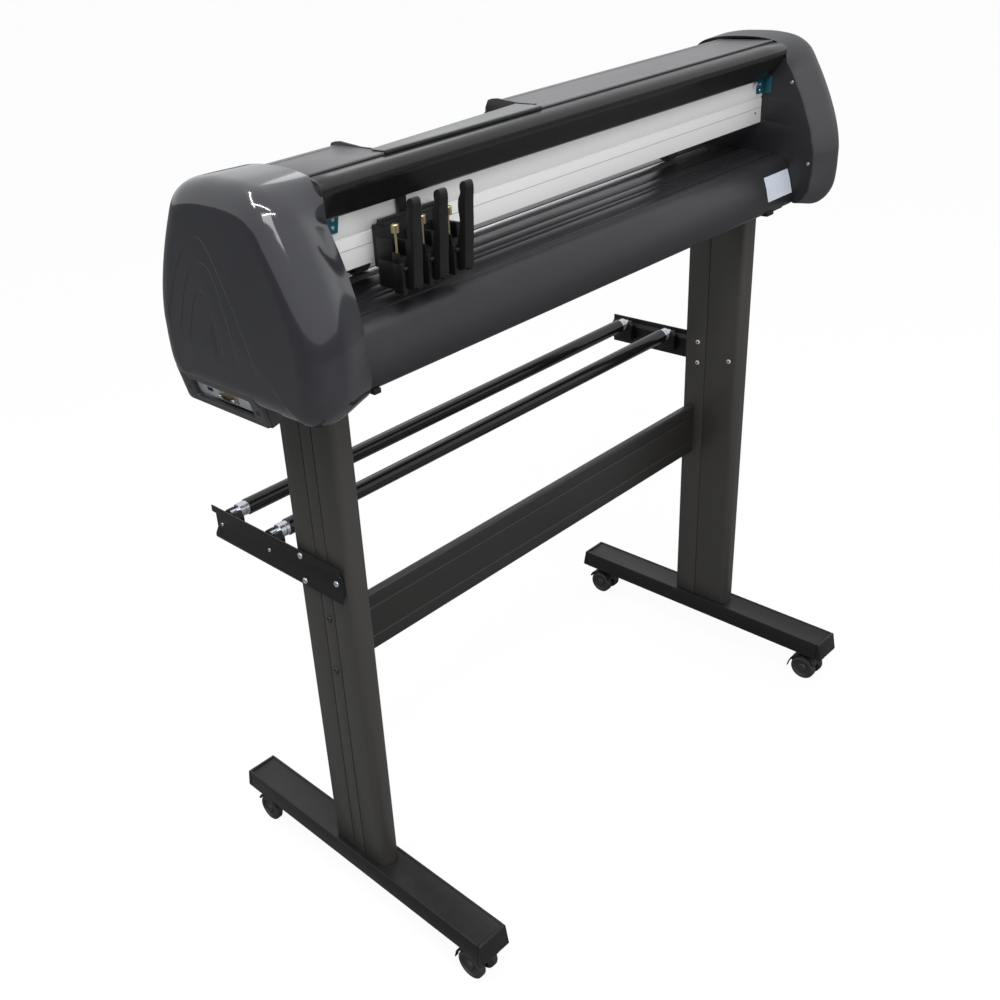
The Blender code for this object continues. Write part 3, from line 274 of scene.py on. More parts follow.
STAND = Finish("stand_paint", "stand_paint", (0.038, 0.036, 0.032), 0.40, 0.12, grain=Grain.DRAWN_ALONG_Z,
               grain_scale=1500.0, grain_depth=0.00003, marks=0.10)
STAND_ALONG_X = Finish("stand_paint_tie", "stand_paint", (0.016, 0.015, 0.014), 0.38, 0.10,
                       grain=Grain.DRAWN_ALONG_X,
                       grain_scale=1500.0, grain_depth=0.00003)
STAND_ALONG_Y = Finish("stand_paint_feet", "stand_paint", (0.006, 0.006, 0.0065), 0.42, specular=0.3,
                       dust=0.02, grain=Grain.DRAWN_ALONG_Y,
                       grain_scale=1200.0)
GLOSS_COVER = Finish("gloss_cover", "gloss_cover", (0.017, 0.017, 0.021), 0.12, coat=0.5, drift=0.05,
                     marks=0.04,
                     grain_scale=500.0, grain_depth=0.000008, dust=0.02)
# The right cover is the same moulding as the left one. Its higher roughness gives its satin look. Its lighter
# grey is a painted sheen, standing in for the paler look the far cover has under this light.
SATIN_COVER_PAINTED_SHEEN = Finish("satin_cover_painted_sheen", "gloss_cover", (0.030, 0.030, 0.032), 0.42, drift=0.05, marks=0.05,
                     grain_scale=700.0, dust=0.02)
BLACK_PAINT = Finish("black_paint", "black_paint", (0.011, 0.011, 0.013), 0.33, grain_scale=1400.0, dust=0.03)
HOOD_PAINT = Finish("hood_paint", "black_paint", (0.008, 0.0077, 0.0077), 0.24, grain_scale=1200.0,
                    grain_depth=0.00001, marks=0.05, dust=0.02)
TOP_GREY = Finish("top_grey", "top_grey", (0.066, 0.064, 0.069), 0.32, drift=0.06, dust=0.03)
TRIM_GREY = Finish("trim_grey", "top_grey", (0.115, 0.120, 0.116), 0.34, drift=0.06, dust=0.03)
ALUMINIUM = Finish("aluminium", "aluminium", (0.62, 0.62, 0.61), 0.46, 0.15, grain=Grain.DRAWN_ALONG_X,
                   grain_scale=400.0, grain_depth=0.000003, drift=0.05, dust=0.0)
ROLLER_BLACK = Finish("roller_black", "roller_black", (0.006, 0.006, 0.006), 0.16, coat=0.0,
                      grain_scale=600.0,
                      grain_depth=0.000008, dust=0.0)
ZINC = Finish("zinc", "steel", (0.66, 0.68, 0.72), 0.28, 0.95, grain_scale=400.0, drift=0.25, marks=0.25,
              dust=0.0)
STEEL = Finish("steel", "steel", (0.56, 0.56, 0.57), 0.30, 0.95, dust=0.0)
RUBBER = Finish("rubber", "rubber", (0.018, 0.018, 0.018), 0.62, grain_scale=700.0, grain_depth=0.00005,
                dust=0.08)
BRASS = Finish("brass", "brass", (0.80, 0.70, 0.40), 0.30, 1.0, grain_scale=900.0, dust=0.0)
DULL_GOLD = Finish("dull_gold", "brass", (0.46, 0.40, 0.27), 0.36, 0.9, dust=0.0)
TEAL = Finish("teal_paint", "teal_paint", (0.003, 0.060, 0.078), 0.36, dust=0.0)
LIGHT_PLATE = Finish("light_plate", "light_plate", (0.50, 0.54, 0.56), 0.40, 0.1, dust=0.02)
MOTOR_BLACK = Finish("motor_black", "motor_black", (0.014, 0.014, 0.015), 0.45, dust=0.03)
MOULDED = Finish("moulded_black", "moulded_black", (0.005, 0.005, 0.0055), 0.46, specular=0.35,
                 grain_scale=1800.0,
                 grain_depth=0.00004, dust=0.03)
BEZEL_SKIN = Finish("bezel_skin", "moulded_black", (0.040, 0.040, 0.041), 0.34, grain_scale=1500.0, dust=0.02)
CREAM = Finish("cream_bolt", "steel", (0.66, 0.62, 0.52), 0.35, 0.3, dust=0.0)
BARE_LABEL = Finish("bare_label", "light_plate", (0.40, 0.43, 0.48), 0.38, dust=0.0)
SHADOW_GAP = Finish("shadow_gap", "black_paint", (0.003, 0.003, 0.003), 0.7, dust=0.0)


# ------------------------------------------------------------------ surfaces as whole arrays
class Shape:
    """Vertices and faces of one piece, gathered from surfaces worked out as arrays."""

    def __init__(self) -> None:
        """An empty shape."""
        self.points: list[Array] = []
        self.faces: list[list[int]] = []
        self.count = 0

    def add(self, points: Array, faces: list[list[int]]) -> "Shape":
        """Adds a surface, with its faces in the order given.

        Args:
            points: (n, 3) vertices.
            faces: vertex numbers of each face, starting at 0.

        Returns:
            The shape itself.
        """
        self.points.append(points)
        self.faces += [[self.count + int(i) for i in face] for face in faces]
        self.count += len(points)
        return self

    def grid(self, rows: Array, around: bool = False, round_rows: bool = False, capped: bool = False,
             inside: Point | None = None) -> "Shape":
        """Adds a grid surface: face (i, j) joins rows i and i + 1 between columns j and j + 1.

        Args:
            rows: (n, m, 3) points.
            around: whether each row closes on itself.
            round_rows: whether the last row joins the first.
            capped: whether the first and last rows are filled with one face each.
            inside: a point that an open surface faces away from; a closed one is turned by its volume.

        Returns:
            The shape itself.
        """
        n, m = rows.shape[:2]
        points = rows.reshape(-1, 3)
        i = np.arange(n if round_rows else n - 1)[:, None]
        j = np.arange(m if around else m - 1)[None, :]
        nexti, nextj = (i + 1) % n, (j + 1) % m
        quads = np.stack([i * m + j, i * m + nextj, nexti * m + nextj, nexti * m + j], -1).reshape(-1, 4)
        corners = points[quads]
        normals = np.cross(corners[:, 2] - corners[:, 0], corners[:, 3] - corners[:, 1])
        middle = points.mean(0) if inside is None else np.array(inside)
        outward = ((corners.mean(1) - middle) * normals).sum() > 0
        faces = quads.tolist()
        if capped:
            faces += [list(range(m))[::-1], list(range((n - 1) * m, n * m))]
        if not outward:
            faces = [face[::-1] for face in faces]
        return self.add(points, faces)

    def prism(self, loop: Array, low: float, high: float, axis: int = 0) -> "Shape":
        """Adds a closed outline carried straight along an axis, with a face at each end.

        Args:
            loop: (m, 2) outline in the other two axes, in x, y, z order.
            low: where it starts.
            high: where it ends.
            axis: 0, 1 or 2.

        Returns:
            The shape itself.
        """
        others = [k for k in range(3) if k != axis]
        rows = np.empty((2, len(loop), 3))
        rows[:, :, others[0]] = loop[:, 0]
        rows[:, :, others[1]] = loop[:, 1]
        rows[0, :, axis], rows[1, :, axis] = low, high
        return self.grid(rows, around=True, capped=True)

    def box(self, low: Point, high: Point) -> "Shape":
        """Adds a block between two corners, as a square outline carried along x."""
        (x0, y0, z0), (x1, y1, z1) = low, high
        return self.prism(np.array([(y0, z0), (y1, z0), (y1, z1), (y0, z1)]), x0, x1)

    def lathe(self, profile: list[tuple[float, float]], centre: Point, axis: Point, segments: int = 48,
              ripple: tuple[int, float, float, float] | None = None) -> "Shape":
        """Adds a turned surface: centre + along * axis + radius * (cos t * u + sin t * v).

        Args:
            profile: (radius, distance along the axis), closed at both ends by a radius of 0.
            centre: the point that the distances start from.
            axis: the direction of the axis.
            segments: how many steps there are round it.
            ripple: a knurl's count and depth, and the distances between which it lies.

        Returns:
            The shape itself.
        """
        along, u, v = frame_of(axis)
        t = np.linspace(0, 2 * math.pi, segments, endpoint=False)
        radius = np.array([r for r, _ in profile])[:, None] * np.ones(segments)
        height = np.array([h for _, h in profile])
        if ripple:
            count, depth, low, high = ripple
            knurled = (height >= low) & (height <= high)
            radius[knurled] -= depth * (0.5 + 0.5 * np.cos(count * t)) * (radius[knurled] > depth)
        ring = radius[..., None] * (np.cos(t)[:, None] * u + np.sin(t)[:, None] * v)
        rows = np.array(centre) + ring + height[:, None, None] * along
        return self.grid(rows, around=True)

    def piece(self, name: str, finish: Finish, body: str, replaces: tuple[str, ...] = (), bevel: float = 0.0,
              segments: int = 2, wall: float = 0.0, sharp: float = 40.0) -> bpy.types.Object:
        """Makes the shape a piece of the model.

        Args:
            name: the piece's name.
            finish: its finish.
            body: the moving body that it rides on.
            replaces: the CAD nodes that it stands for.
            bevel: radius of its edges.
            segments: steps across each rounded edge.
            wall: thickness that an open surface gets, inwards.
            sharp: angle in degrees past which an edge stays crisp.

        Returns:
            The piece.
        """
        mesh = bpy.data.meshes.new(name)
        mesh.from_pydata(np.concatenate(self.points), [], self.faces)
        made = bpy.data.objects.new(name, mesh)
        bpy.context.scene.collection.objects.link(made)
        weld = made.modifiers.new("closed_poles", "WELD")
        weld.merge_threshold = 0.000002
        if wall:
            thick = made.modifiers.new("wall", "SOLIDIFY")
            thick.thickness, thick.offset = wall, -1.0
        if bevel:
            soften(made, bevel, segments)
        mesh.shade_smooth()
        smooth = made.modifiers.new("shading", "NODES")
        smooth.node_group = crisp_edges(sharp)
        mesh.materials.append(finish.material())
        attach(made, body)
        if replaces:
            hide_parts(*replaces)
        LOG.info("%s: %d vertices on %s", name, self.count, body)
        return made


def frame_of(axis: Point) -> tuple[Array, Array, Array]:
    """A unit axis and two unit directions square to it and to each other."""
    along = np.array(axis, float) / np.linalg.norm(axis)
    helper = np.array((0.0, 0.0, 1.0)) if abs(along[2]) < 0.9 else np.array((1.0, 0.0, 0.0))
    u = np.cross(helper, along)
    u /= np.linalg.norm(u)
    return along, u, np.cross(along, u)


def soften(piece: bpy.types.Object, radius: float, segments: int = 2) -> None:
    """Rounds the piece's edges with a live bevel."""
    bevel = piece.modifiers.new("edge_radius", "BEVEL")
    bevel.width, bevel.segments = radius, segments
    bevel.limit_method = "ANGLE"
    bevel.angle_limit = math.radians(38)
    bevel.use_clamp_overlap = True


def crisp_edges(angle: float) -> bpy.types.NodeTree:
    """A modifier group that shades a piece smooth, apart from edges sharper than an angle.

    Args:
        angle: the limit in degrees.

    Returns:
        The node group.
    """
    name = f"crisp_edges_{angle:.0f}"
    if name in bpy.data.node_groups:
        return bpy.data.node_groups[name]
    tree = bpy.data.node_groups.new(name, "GeometryNodeTree")
    tree.interface.new_socket("Geometry", in_out="INPUT", socket_type="NodeSocketGeometry")
    tree.interface.new_socket("Geometry", in_out="OUTPUT", socket_type="NodeSocketGeometry")
    nodes, links = tree.nodes, tree.links
    start, end = nodes.new("NodeGroupInput"), nodes.new("NodeGroupOutput")
    faces = nodes.new("GeometryNodeSetShadeSmooth")
    edges = nodes.new("GeometryNodeSetShadeSmooth")
    edges.domain = "EDGE"
    edges.inputs["Shade Smooth"].default_value = False
    turn = nodes.new("GeometryNodeInputMeshEdgeAngle")
    over = nodes.new("ShaderNodeMath")
    over.operation = "GREATER_THAN"
    over.inputs[1].default_value = math.radians(angle)
    links.new(start.outputs[0], faces.inputs["Geometry"])
    links.new(faces.outputs[0], edges.inputs["Geometry"])
    links.new(turn.outputs[0], over.inputs[0])
    links.new(over.outputs[0], edges.inputs["Selection"])
    links.new(edges.outputs[0], end.inputs[0])
    return tree


def dress(node: str, finish: Finish, bevel: float = 0.0005, segments: int = 2) -> None:
    """Gives a CAD node its finish and small edge radii.

    Args:
        node: the node's name.
        finish: its finish.
        bevel: radius of its edges, or 0 for none.
        segments: steps across each rounded edge.
    """
    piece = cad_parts[node]
    if not piece.material_slots:
        piece.data.materials.append(None)
    for slot in piece.material_slots:
        slot.link = "OBJECT"
        slot.material = finish.material()
    weld = piece.modifiers.new("joined", "WELD")
    weld.merge_threshold = 0.00001
    if bevel:
        flat = piece.modifiers.new("flat_faces", "DECIMATE")
        flat.decimate_type = "DISSOLVE"
        flat.angle_limit = math.radians(0.5)
        soften(piece, bevel, segments)
    smooth = piece.modifiers.new("shading", "NODES")
    smooth.node_group = crisp_edges(40.0)


def curve_through(points: list[tuple[float, float]], count: int, closed: bool = True) -> Array:
    """A smooth line through points: centripetal Catmull-Rom pieces, sampled evenly along their length.

    Args:
        points: the (a, b) points that it passes through.
        count: how many samples it gives.
        closed: whether it joins its own start.

    Returns:
        (count, 2) samples.
    """
    p = np.array(points, float)
    if closed:
        p = np.concatenate([p[-1:], p, p[:2]])
    else:
        p = np.concatenate([2 * p[:1] - p[1:2], p, 2 * p[-1:] - p[-2:-1]])
    knots = np.concatenate([[0.0], np.cumsum(np.linalg.norm(np.diff(p, axis=0), axis=1) ** 0.5)])
    pieces = []
    steps = np.linspace(0, 1, 24, endpoint=False)
    for i in range(1, len(p) - 2):
        t0, t1, t2, t3 = knots[i - 1: i + 3]
        t = (t1 + (t2 - t1) * steps)[:, None]
        a1 = (t1 - t) / (t1 - t0) * p[i - 1] + (t - t0) / (t1 - t0) * p[i]
        a2 = (t2 - t) / (t2 - t1) * p[i] + (t - t1) / (t2 - t1) * p[i + 1]
        a3 = (t3 - t) / (t3 - t2) * p[i + 1] + (t - t2) / (t3 - t2) * p[i + 2]
        b1 = (t2 - t) / (t2 - t0) * a1 + (t - t0) / (t2 - t0) * a2
        b2 = (t3 - t) / (t3 - t1) * a2 + (t - t1) / (t3 - t1) * a3
        pieces.append((t2 - t) / (t2 - t1) * b1 + (t - t1) / (t2 - t1) * b2)
    line = np.concatenate(pieces + [p[1:2] if closed else p[-2:-1]])
    run = np.concatenate([[0.0], np.cumsum(np.linalg.norm(np.diff(line, axis=0), axis=1))])
    wanted = np.linspace(0, run[-1], count, endpoint=not closed)
    return np.stack([np.interp(wanted, run, line[:, k]) for k in (0, 1)], 1)


def smoothstep(value: Array) -> Array:
    """3 v^2 - 2 v^3 of each value held between 0 and 1."""
    held = np.clip(value, 0, 1)
    return held * held * (3 - 2 * held)


class Drive(Enum):
    """What a screw head takes."""

    CROSS = "cross"
    SOCKET = "socket"
    PLAIN = "plain"


@dataclass(frozen=True)
class ScrewHead:
    """A domed screw head: height(r) = rise * (1 - (r / radius)^4)^0.5, less its recess."""

    radius: float
    rise: float
    drive: Drive = Drive.CROSS
    rings: int = 18
    segments: int = 40

    def onto(self, shape: Shape, centre: Point, axis: Point) -> None:
        """Adds the head to a shape.

        Args:
            shape: what it is added to.
            centre: the middle of its seat.
            axis: the way that it faces.
        """
        along, u, v = frame_of(axis)
        t = np.linspace(0, 2 * math.pi, self.segments, endpoint=False)[None, :]
        r = self.radius * np.linspace(0, 1, self.rings)[:, None] ** 0.8
        a, b = r * np.cos(t), r * np.sin(t)
        share = np.clip(r / self.radius, 0, 1) * np.ones_like(t)
        height = self.rise * (0.35 + 0.65 * np.sqrt(np.clip(1 - share ** 4, 0, 1)))
        size = self.radius
        if self.drive is Drive.CROSS:
            arm = np.minimum(np.abs(a), np.abs(b))
            reach = np.maximum(np.abs(a), np.abs(b))
            hole = (smoothstep((0.16 * size - arm) / (0.08 * size))
                    * smoothstep((0.62 * size - reach) / (0.12 * size)))
            height = height - 0.8 * self.rise * hole
        elif self.drive is Drive.SOCKET:
            sides = np.max([np.abs(a * math.cos(k) + b * math.sin(k)) for k in (0, math.pi / 3,
                    2 * math.pi / 3)], 0)
            height = height - 0.9 * self.rise * smoothstep((0.46 * size - sides) / (0.08 * size))
        top = np.array(centre) + a[..., None] * u + b[..., None] * v + height[..., None] * along
        skirt = top[-1:] - (self.rise * 0.35 + 0.0001) * along
        shape.grid(np.concatenate([top, skirt, np.array(centre) * np.ones_like(skirt)]), around=True,
                   inside=tuple(np.array(centre) + 0.2 * self.rise * along))


# ------------------------------------------------------------------ sub-assemblies
SECTION = (  # height above the body base, half width
    (-0.0085, 0.109), (-0.0015, 0.1205), (0.0150, 0.1310), (0.0450, 0.1350), (0.0750, 0.1345),
           (0.1080, 0.1275),
    (0.1480, 0.1120), (0.1850, 0.0930), (0.2080, 0.0780), (0.2200, 0.0600), (0.2260, 0.0330), (0.2275, 0.0),
)


@dataclass(frozen=True)
class Window:
    """A rounded rectangular opening with its own frame: a runs up it, b across it and c out of it."""

    origin: Point
    up: Point
    across: Point
    half_up: float
    half_across: float
    corner: float = 0.004

    def axes(self) -> Array:
        """Its three unit axes as rows."""
        up, across = np.array(self.up, float), np.array(self.across, float)
        return np.stack([up, across, np.cross(up, across)])

    def local(self, points: Array) -> Array:
        """World points as (a, b, c)."""
        return (points - np.array(self.origin)) @ self.axes().T

    def world(self, points: Array) -> Array:
        """(a, b, c) points in the world."""
        return np.array(self.origin) + points @ self.axes()

    def loop(self, grow: float = 0.0, corner: float | None = None, lift: Array | float = 0.0,
             slide: float = 0.0,
             steps: int = 10) -> Array:
        """The rounded outline as world points, four quarter turns joined by straight sides.

        Args:
            grow: how far it is moved outwards.
            corner: its corner radius, if not the opening's own.
            lift: its distance out of the opening's plane.
            slide: how far it is moved up.
            steps: points in each quarter turn.

        Returns:
            (m, 3) points.
        """
        r = self.corner + grow if corner is None else corner
        flat = []
        for k, (sa, sb) in enumerate(((1, 1), (-1, 1), (-1, -1), (1, -1))):
            t = np.linspace(0, math.pi / 2, steps) + k * math.pi / 2
            mid = (sa * (self.half_up + grow - r) + slide, sb * (self.half_across + grow - r))
            flat.append(np.stack([mid[0] + r * np.cos(t), mid[1] + r * np.sin(t)], 1))
        corners = np.concatenate(flat)
        parts = []
        for index, (here, after) in enumerate(zip(corners, np.roll(corners, -1, 0))):
            count = (20, 70)[index // steps % 2] if index % steps == steps - 1 else 1
            parts.append(here + (after - here) * (np.arange(count) / count)[:, None])
        line = np.concatenate(parts)
        return self.world(np.column_stack([line, np.broadcast_to(lift, len(line))]))

    def trim(self, points: Array, faces: Array) -> tuple[Array, Array]:
        """Leaves out the faces inside the opening and draws the rest's inner corners onto its outline.

        Args:
            points: (n, 3) vertices.
            faces: (m, 4) vertex numbers.

        Returns:
            The moved vertices and the faces left.
        """
        place = self.local(points)
        q = np.abs(place[:, :2]) - (np.array((self.half_up, self.half_across)) - self.corner)
        out = np.maximum(q, 0)
        distance = np.linalg.norm(out, axis=1) + np.minimum(q.max(1), 0) - self.corner
        near = np.abs(place[:, 2]) < 0.030
        middle = np.where(near[faces], distance[faces], 1.0).mean(1)
        kept = faces[middle > 0]
        inside = near & (distance < 0)
        inside[np.setdiff1d(np.arange(len(points)), kept)] = False
        steep = np.where((q > 0).all(1)[:, None],
                         out / np.maximum(np.linalg.norm(out, axis=1), 1e-9)[:, None],
                         (q == q.max(1)[:, None]).astype(float))
        place[inside, :2] -= (distance[:, None] * steep * np.sign(place[:, :2]))[inside]
        moved = points.copy()
        moved[inside] = self.world(place[inside])
        return moved, kept


def socket_window() -> Window:
    """The tilted opening low on the left cover, worked out from the bezel's box."""
    turn = math.radians(90 + 14.0)
    up, out = np.array((math.cos(turn), 0.0, math.sin(turn))), np.array((-math.sin(turn), 0.0,
            math.cos(turn)))
    low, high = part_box("interface_bezel")
    origin = np.array((low + high) / 2) + 0.009 * out
    return Window(tuple(origin), tuple(up), (0.0, 1.0, 0.0), 0.0234, 0.0754)


def inlet_window() -> Window:
    """The upright opening in the right cover's end face."""
    low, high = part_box("power_inlet")
    return Window((high.x, (low.y + high.y) / 2, (low.z + high.z) / 2), (0.0, 0.0, 1.0), (0.0, -1.0, 0.0),
                  0.0145,
                  0.0245, 0.0015)


@dataclass(frozen=True)
class Flank:
    """One side of an arch: it falls by drop * (distance / width)^power and fades out at a height."""

    width: float
    drop: float
    power: float
    fade: float


@dataclass(frozen=True)
class Arch:
    """One nested arch pressed into a cover's end face."""

    apex: tuple[float, float]
    front: Flank
    rear: Flank

    def depth(self, y: Array, z: Array, width: float) -> Array:
        """How far inside the arch each point is, from 0 outside to 1, over a wall of a width.

        Args:
            y: places along the machine's depth.
            z: heights above the body base.
            width: the step's width.

        Returns:
            The share of the full step.
        """
        dy = y - self.apex[0]

        def side(name: str) -> Array:
            """The flank's value at each point."""
            return np.where(dy < 0, getattr(self.front, name), getattr(self.rear, name))

        share = np.abs(dy) / side("width")
        inside = self.apex[1] - side("drop") * share ** side("power") - z
        slope = side("drop") * side("power") * np.maximum(share, 1e-6) ** (side("power") - 1) / side("width")
        return (smoothstep(inside / np.sqrt(1 + slope ** 2) / width)
                * smoothstep((z - side("fade") + 0.004) / 0.045))


@dataclass
class EndCover:
    """A moulded end cover.

    Rings of its section are carried from the flared rim over the round to the end face.
    """

    side: str
    finish: Finish
    window: Window
    rim: float = 0.0105
    rim_front: float = 0.0195
    rim_top: float = 0.0015
    flare: float = 0.048
    end_round: float = 0.030
    wall: float = 0.0028
    crown: float = 0.0022
    step: float = 0.0007
    around: int = 420
    arches: tuple[Arch, ...] = (
        Arch((0.014, 0.1720), Flank(0.0670, 0.1280, 1.40, 0.036), Flank(0.0684, 0.0662, 1.85, 0.055)),
        Arch((0.018, 0.1455), Flank(0.0404, 0.1019, 2.50, 0.036), Flank(0.0567, 0.0740, 2.10, 0.050)),
        Arch((0.024, 0.1150), Flank(0.0226, 0.0698, 2.10, 0.038), Flank(0.0397, 0.0679, 2.20, 0.040)),
    )

    def section(self) -> Array:
        """The cover's outline as (y, z) points, smoothed and kept inside its CAD box."""
        bottom = [(BODY_Y + w, SECTION[0][0]) for w in (0.07, 0.03, -0.03, -0.07)]
        front = [(BODY_Y - half, z) for z, half in SECTION]
        rear = [(BODY_Y + half, z) for z, half in reversed(SECTION[:-1])]
        loop = curve_through(front + rear + bottom, self.around)
        low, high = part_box(f"end_cover_{self.side}")
        loop[:, 1] += BODY_Z
        return np.clip(loop, (low.y, low.z), (high.y, high.z))

    def rings(self, x_rim: float, x_end: float) -> Array:
        """(rings, around, 3) points: inset and place of each ring follow the rim, the flare and the round.

        Args:
            x_rim: distance of the rim from the machine's middle.
            x_end: distance of the end face.

        Returns:
            The outer surface.
        """
        loop = self.section()
        centre = np.array((BODY_Y, BODY_Z + 0.095))
        out = loop - centre
        tangent = np.roll(loop, -1, 0) - np.roll(loop, 1, 0)
        normal = np.stack([tangent[:, 1], -tangent[:, 0]], 1)
        normal /= np.linalg.norm(normal, axis=1)[:, None]
        support = np.maximum(np.abs((out * normal).sum(1)), 0.06)
        ahead = smoothstep((BODY_Y - 0.020 - loop[:, 0]) / 0.060) * smoothstep((loop[:,
                1] - BODY_Z + 0.010) / 0.060)
        above = smoothstep((loop[:, 1] - BODY_Z - 0.188) / 0.034)
        more = (1 - above) * ahead * (self.rim_front / self.rim - 1) + above * (self.rim_top / self.rim - 1)

        def ring(inset: float, x: float, front: float = 0.0) -> Array:
            """The outline drawn in by an inset, square to its sides, and more at the front."""
            flat = centre + out * (1 - inset * (1 + front * more) / support)[:, None]
            return np.concatenate([np.full((len(flat), 1), x), flat], 1)

        big, edge_round = self.end_round, 0.0009
        side_end = x_end - self.crown - big
        rows = [ring(self.rim + self.wall, x_rim + 0.004, 1), ring(self.rim + edge_round + 0.0004, x_rim, 1)]
        for turn in np.radians(np.linspace(0, 90, 5)):
            rows.append(ring(self.rim + edge_round * (1 - math.sin(turn)),
                             x_rim + edge_round * (1 - math.cos(turn)), 1))
        length = min(self.flare, side_end - x_rim - edge_round)
        for t in np.linspace(0, 1, 14)[1:]:
            rows.append(ring(self.rim * (1 - t) ** 1.6 * (1 + 0.6 * t), x_rim + edge_round + length * t, 1))
        if side_end - rows[-1][0, 0] > 0.001:
            rows.append(ring(0.0, side_end))
        power = 2 / 2.3
        for turn in np.radians(np.linspace(0, 90, 22)[1:]):
            bend = (math.cos(turn) ** power, math.sin(turn) ** power)
            rows.append(ring(big * (1 - bend[0]), side_end + big * bend[1]))
        edge = rows[-1][:, 1:]
        for t in np.linspace(0, 1, 150)[1:]:
            flat = edge + (centre + (0.012, -0.01) - edge) * t
            x = x_end - self.crown * (1 - smoothstep(np.array(t * 1.0)))
            sunk = sum(arch.depth(flat[:, 0], flat[:, 1] - BODY_Z, 0.0012) for arch in self.arches)
            rows.append(np.concatenate([(x - self.step * sunk)[:, None], flat], 1))
        return np.array(rows)

    def build(self) -> bpy.types.Object:
        """Makes the cover, with its inner wall and its opening, in place of the CAD node.

        Returns:
            The piece.
        """
        sign = -1 if self.side == "left" else 1
        low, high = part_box(f"end_cover_{self.side}")
        x_rim = SPAN + 0.0004
        x_end = max(abs(low.x - MID_X), abs(high.x - MID_X))
        outer = self.rings(x_rim, x_end)
        centre = np.array((0.0, BODY_Y, BODY_Z + 0.095))
        inner = outer[np.r_[0, 8, 12, 18, 24:42:3, 60, 110, len(outer) - 1]].copy()
        inner[1:, :, 1:] = centre[1:] + (inner[1:, :, 1:] - centre[1:]) * (1 - self.wall / 0.1)
        inner[1:, :, 0] = np.clip(inner[1:, :, 0] - self.wall, x_rim + 0.004, None)
        rows = np.concatenate([inner[:0:-1], outer])
        rows[:, :, 0] = MID_X + sign * rows[:, :, 0]
        shape = Shape().grid(rows, around=True)
        points, faces = shape.points[0], np.array(shape.faces)
        a, b, c = (points[faces[:, k]] for k in range(3))
        if np.einsum("ij,ij->", a - centre, np.cross(b - centre, c - centre)) < 0:
            faces = faces[:, ::-1]
        points, faces = self.window.trim(points, faces)
        used, index = np.unique(faces, return_inverse=True)
        shape = Shape().add(points[used], index.reshape(-1, 4).tolist())
        self.sleeve(points)
        if self.side == "left":
            self.plate()
        return shape.piece(f"cover_shell_{self.side}", self.finish, "machine", (f"end_cover_{self.side}",),
                           sharp=55)

    def plate(self) -> None:
        """Makes the side plate in place of the CAD node: the rim's outline drawn in by its wall."""
        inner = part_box(f"side_plate_{self.side}")[1].x
        flat = self.rings(SPAN, SPAN + 0.08)[1][:, 1:]
        centre = np.array((BODY_Y, BODY_Z + 0.095))
        flat = centre + (flat - centre) * 0.992
        flat[:, 1] = np.maximum(flat[:, 1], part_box(f"side_plate_{self.side}")[0].z)
        shape = Shape().prism(flat, inner - 0.0016, inner)
        shape.piece(f"plate_{self.side}", BLACK_PAINT, "machine", (f"side_plate_{self.side}",))

    def sleeve(self, shell: Array) -> None:
        """Makes the wall round the opening: each point of its outline goes out to the shell's surface.

        Args:
            shell: the shell's points.
        """
        place = self.window.local(shell)
        band = place[(np.abs(place[:, 0]) < self.window.half_up + 0.006) & (np.abs(place[:, 2]) < 0.03)]
        band = band[np.abs(band[:, 1]) < self.window.half_across + 0.006]
        line = self.window.local(self.window.loop(0.0))
        gap = ((line[:, None, :2] - band[None, :, :2]) ** 2).sum(-1)
        close = np.argsort(gap, 1)[:, :8]
        top = np.take_along_axis(np.broadcast_to(band[:, 2], gap.shape), close, 1).max(1)
        top = np.maximum(np.minimum(top + 0.0003, 0.02), -0.002)
        rows = [self.window.loop(0.0012, lift=-0.012), self.window.loop(0.0012, lift=top - 0.0008),
                self.window.loop(0.0006, corner=self.window.corner + 0.0012, lift=top),
                self.window.loop(0.0, corner=self.window.corner + 0.0012, lift=top - 0.0004),
                self.window.loop(0.0, corner=self.window.corner + 0.0012, lift=-0.012)]
        shape = Shape().grid(np.array(rows), around=True,
                             inside=tuple(self.window.world(np.array((0, 0, -0.1)))))
        shape.piece(f"opening_lip_{self.side}", self.finish, "machine")


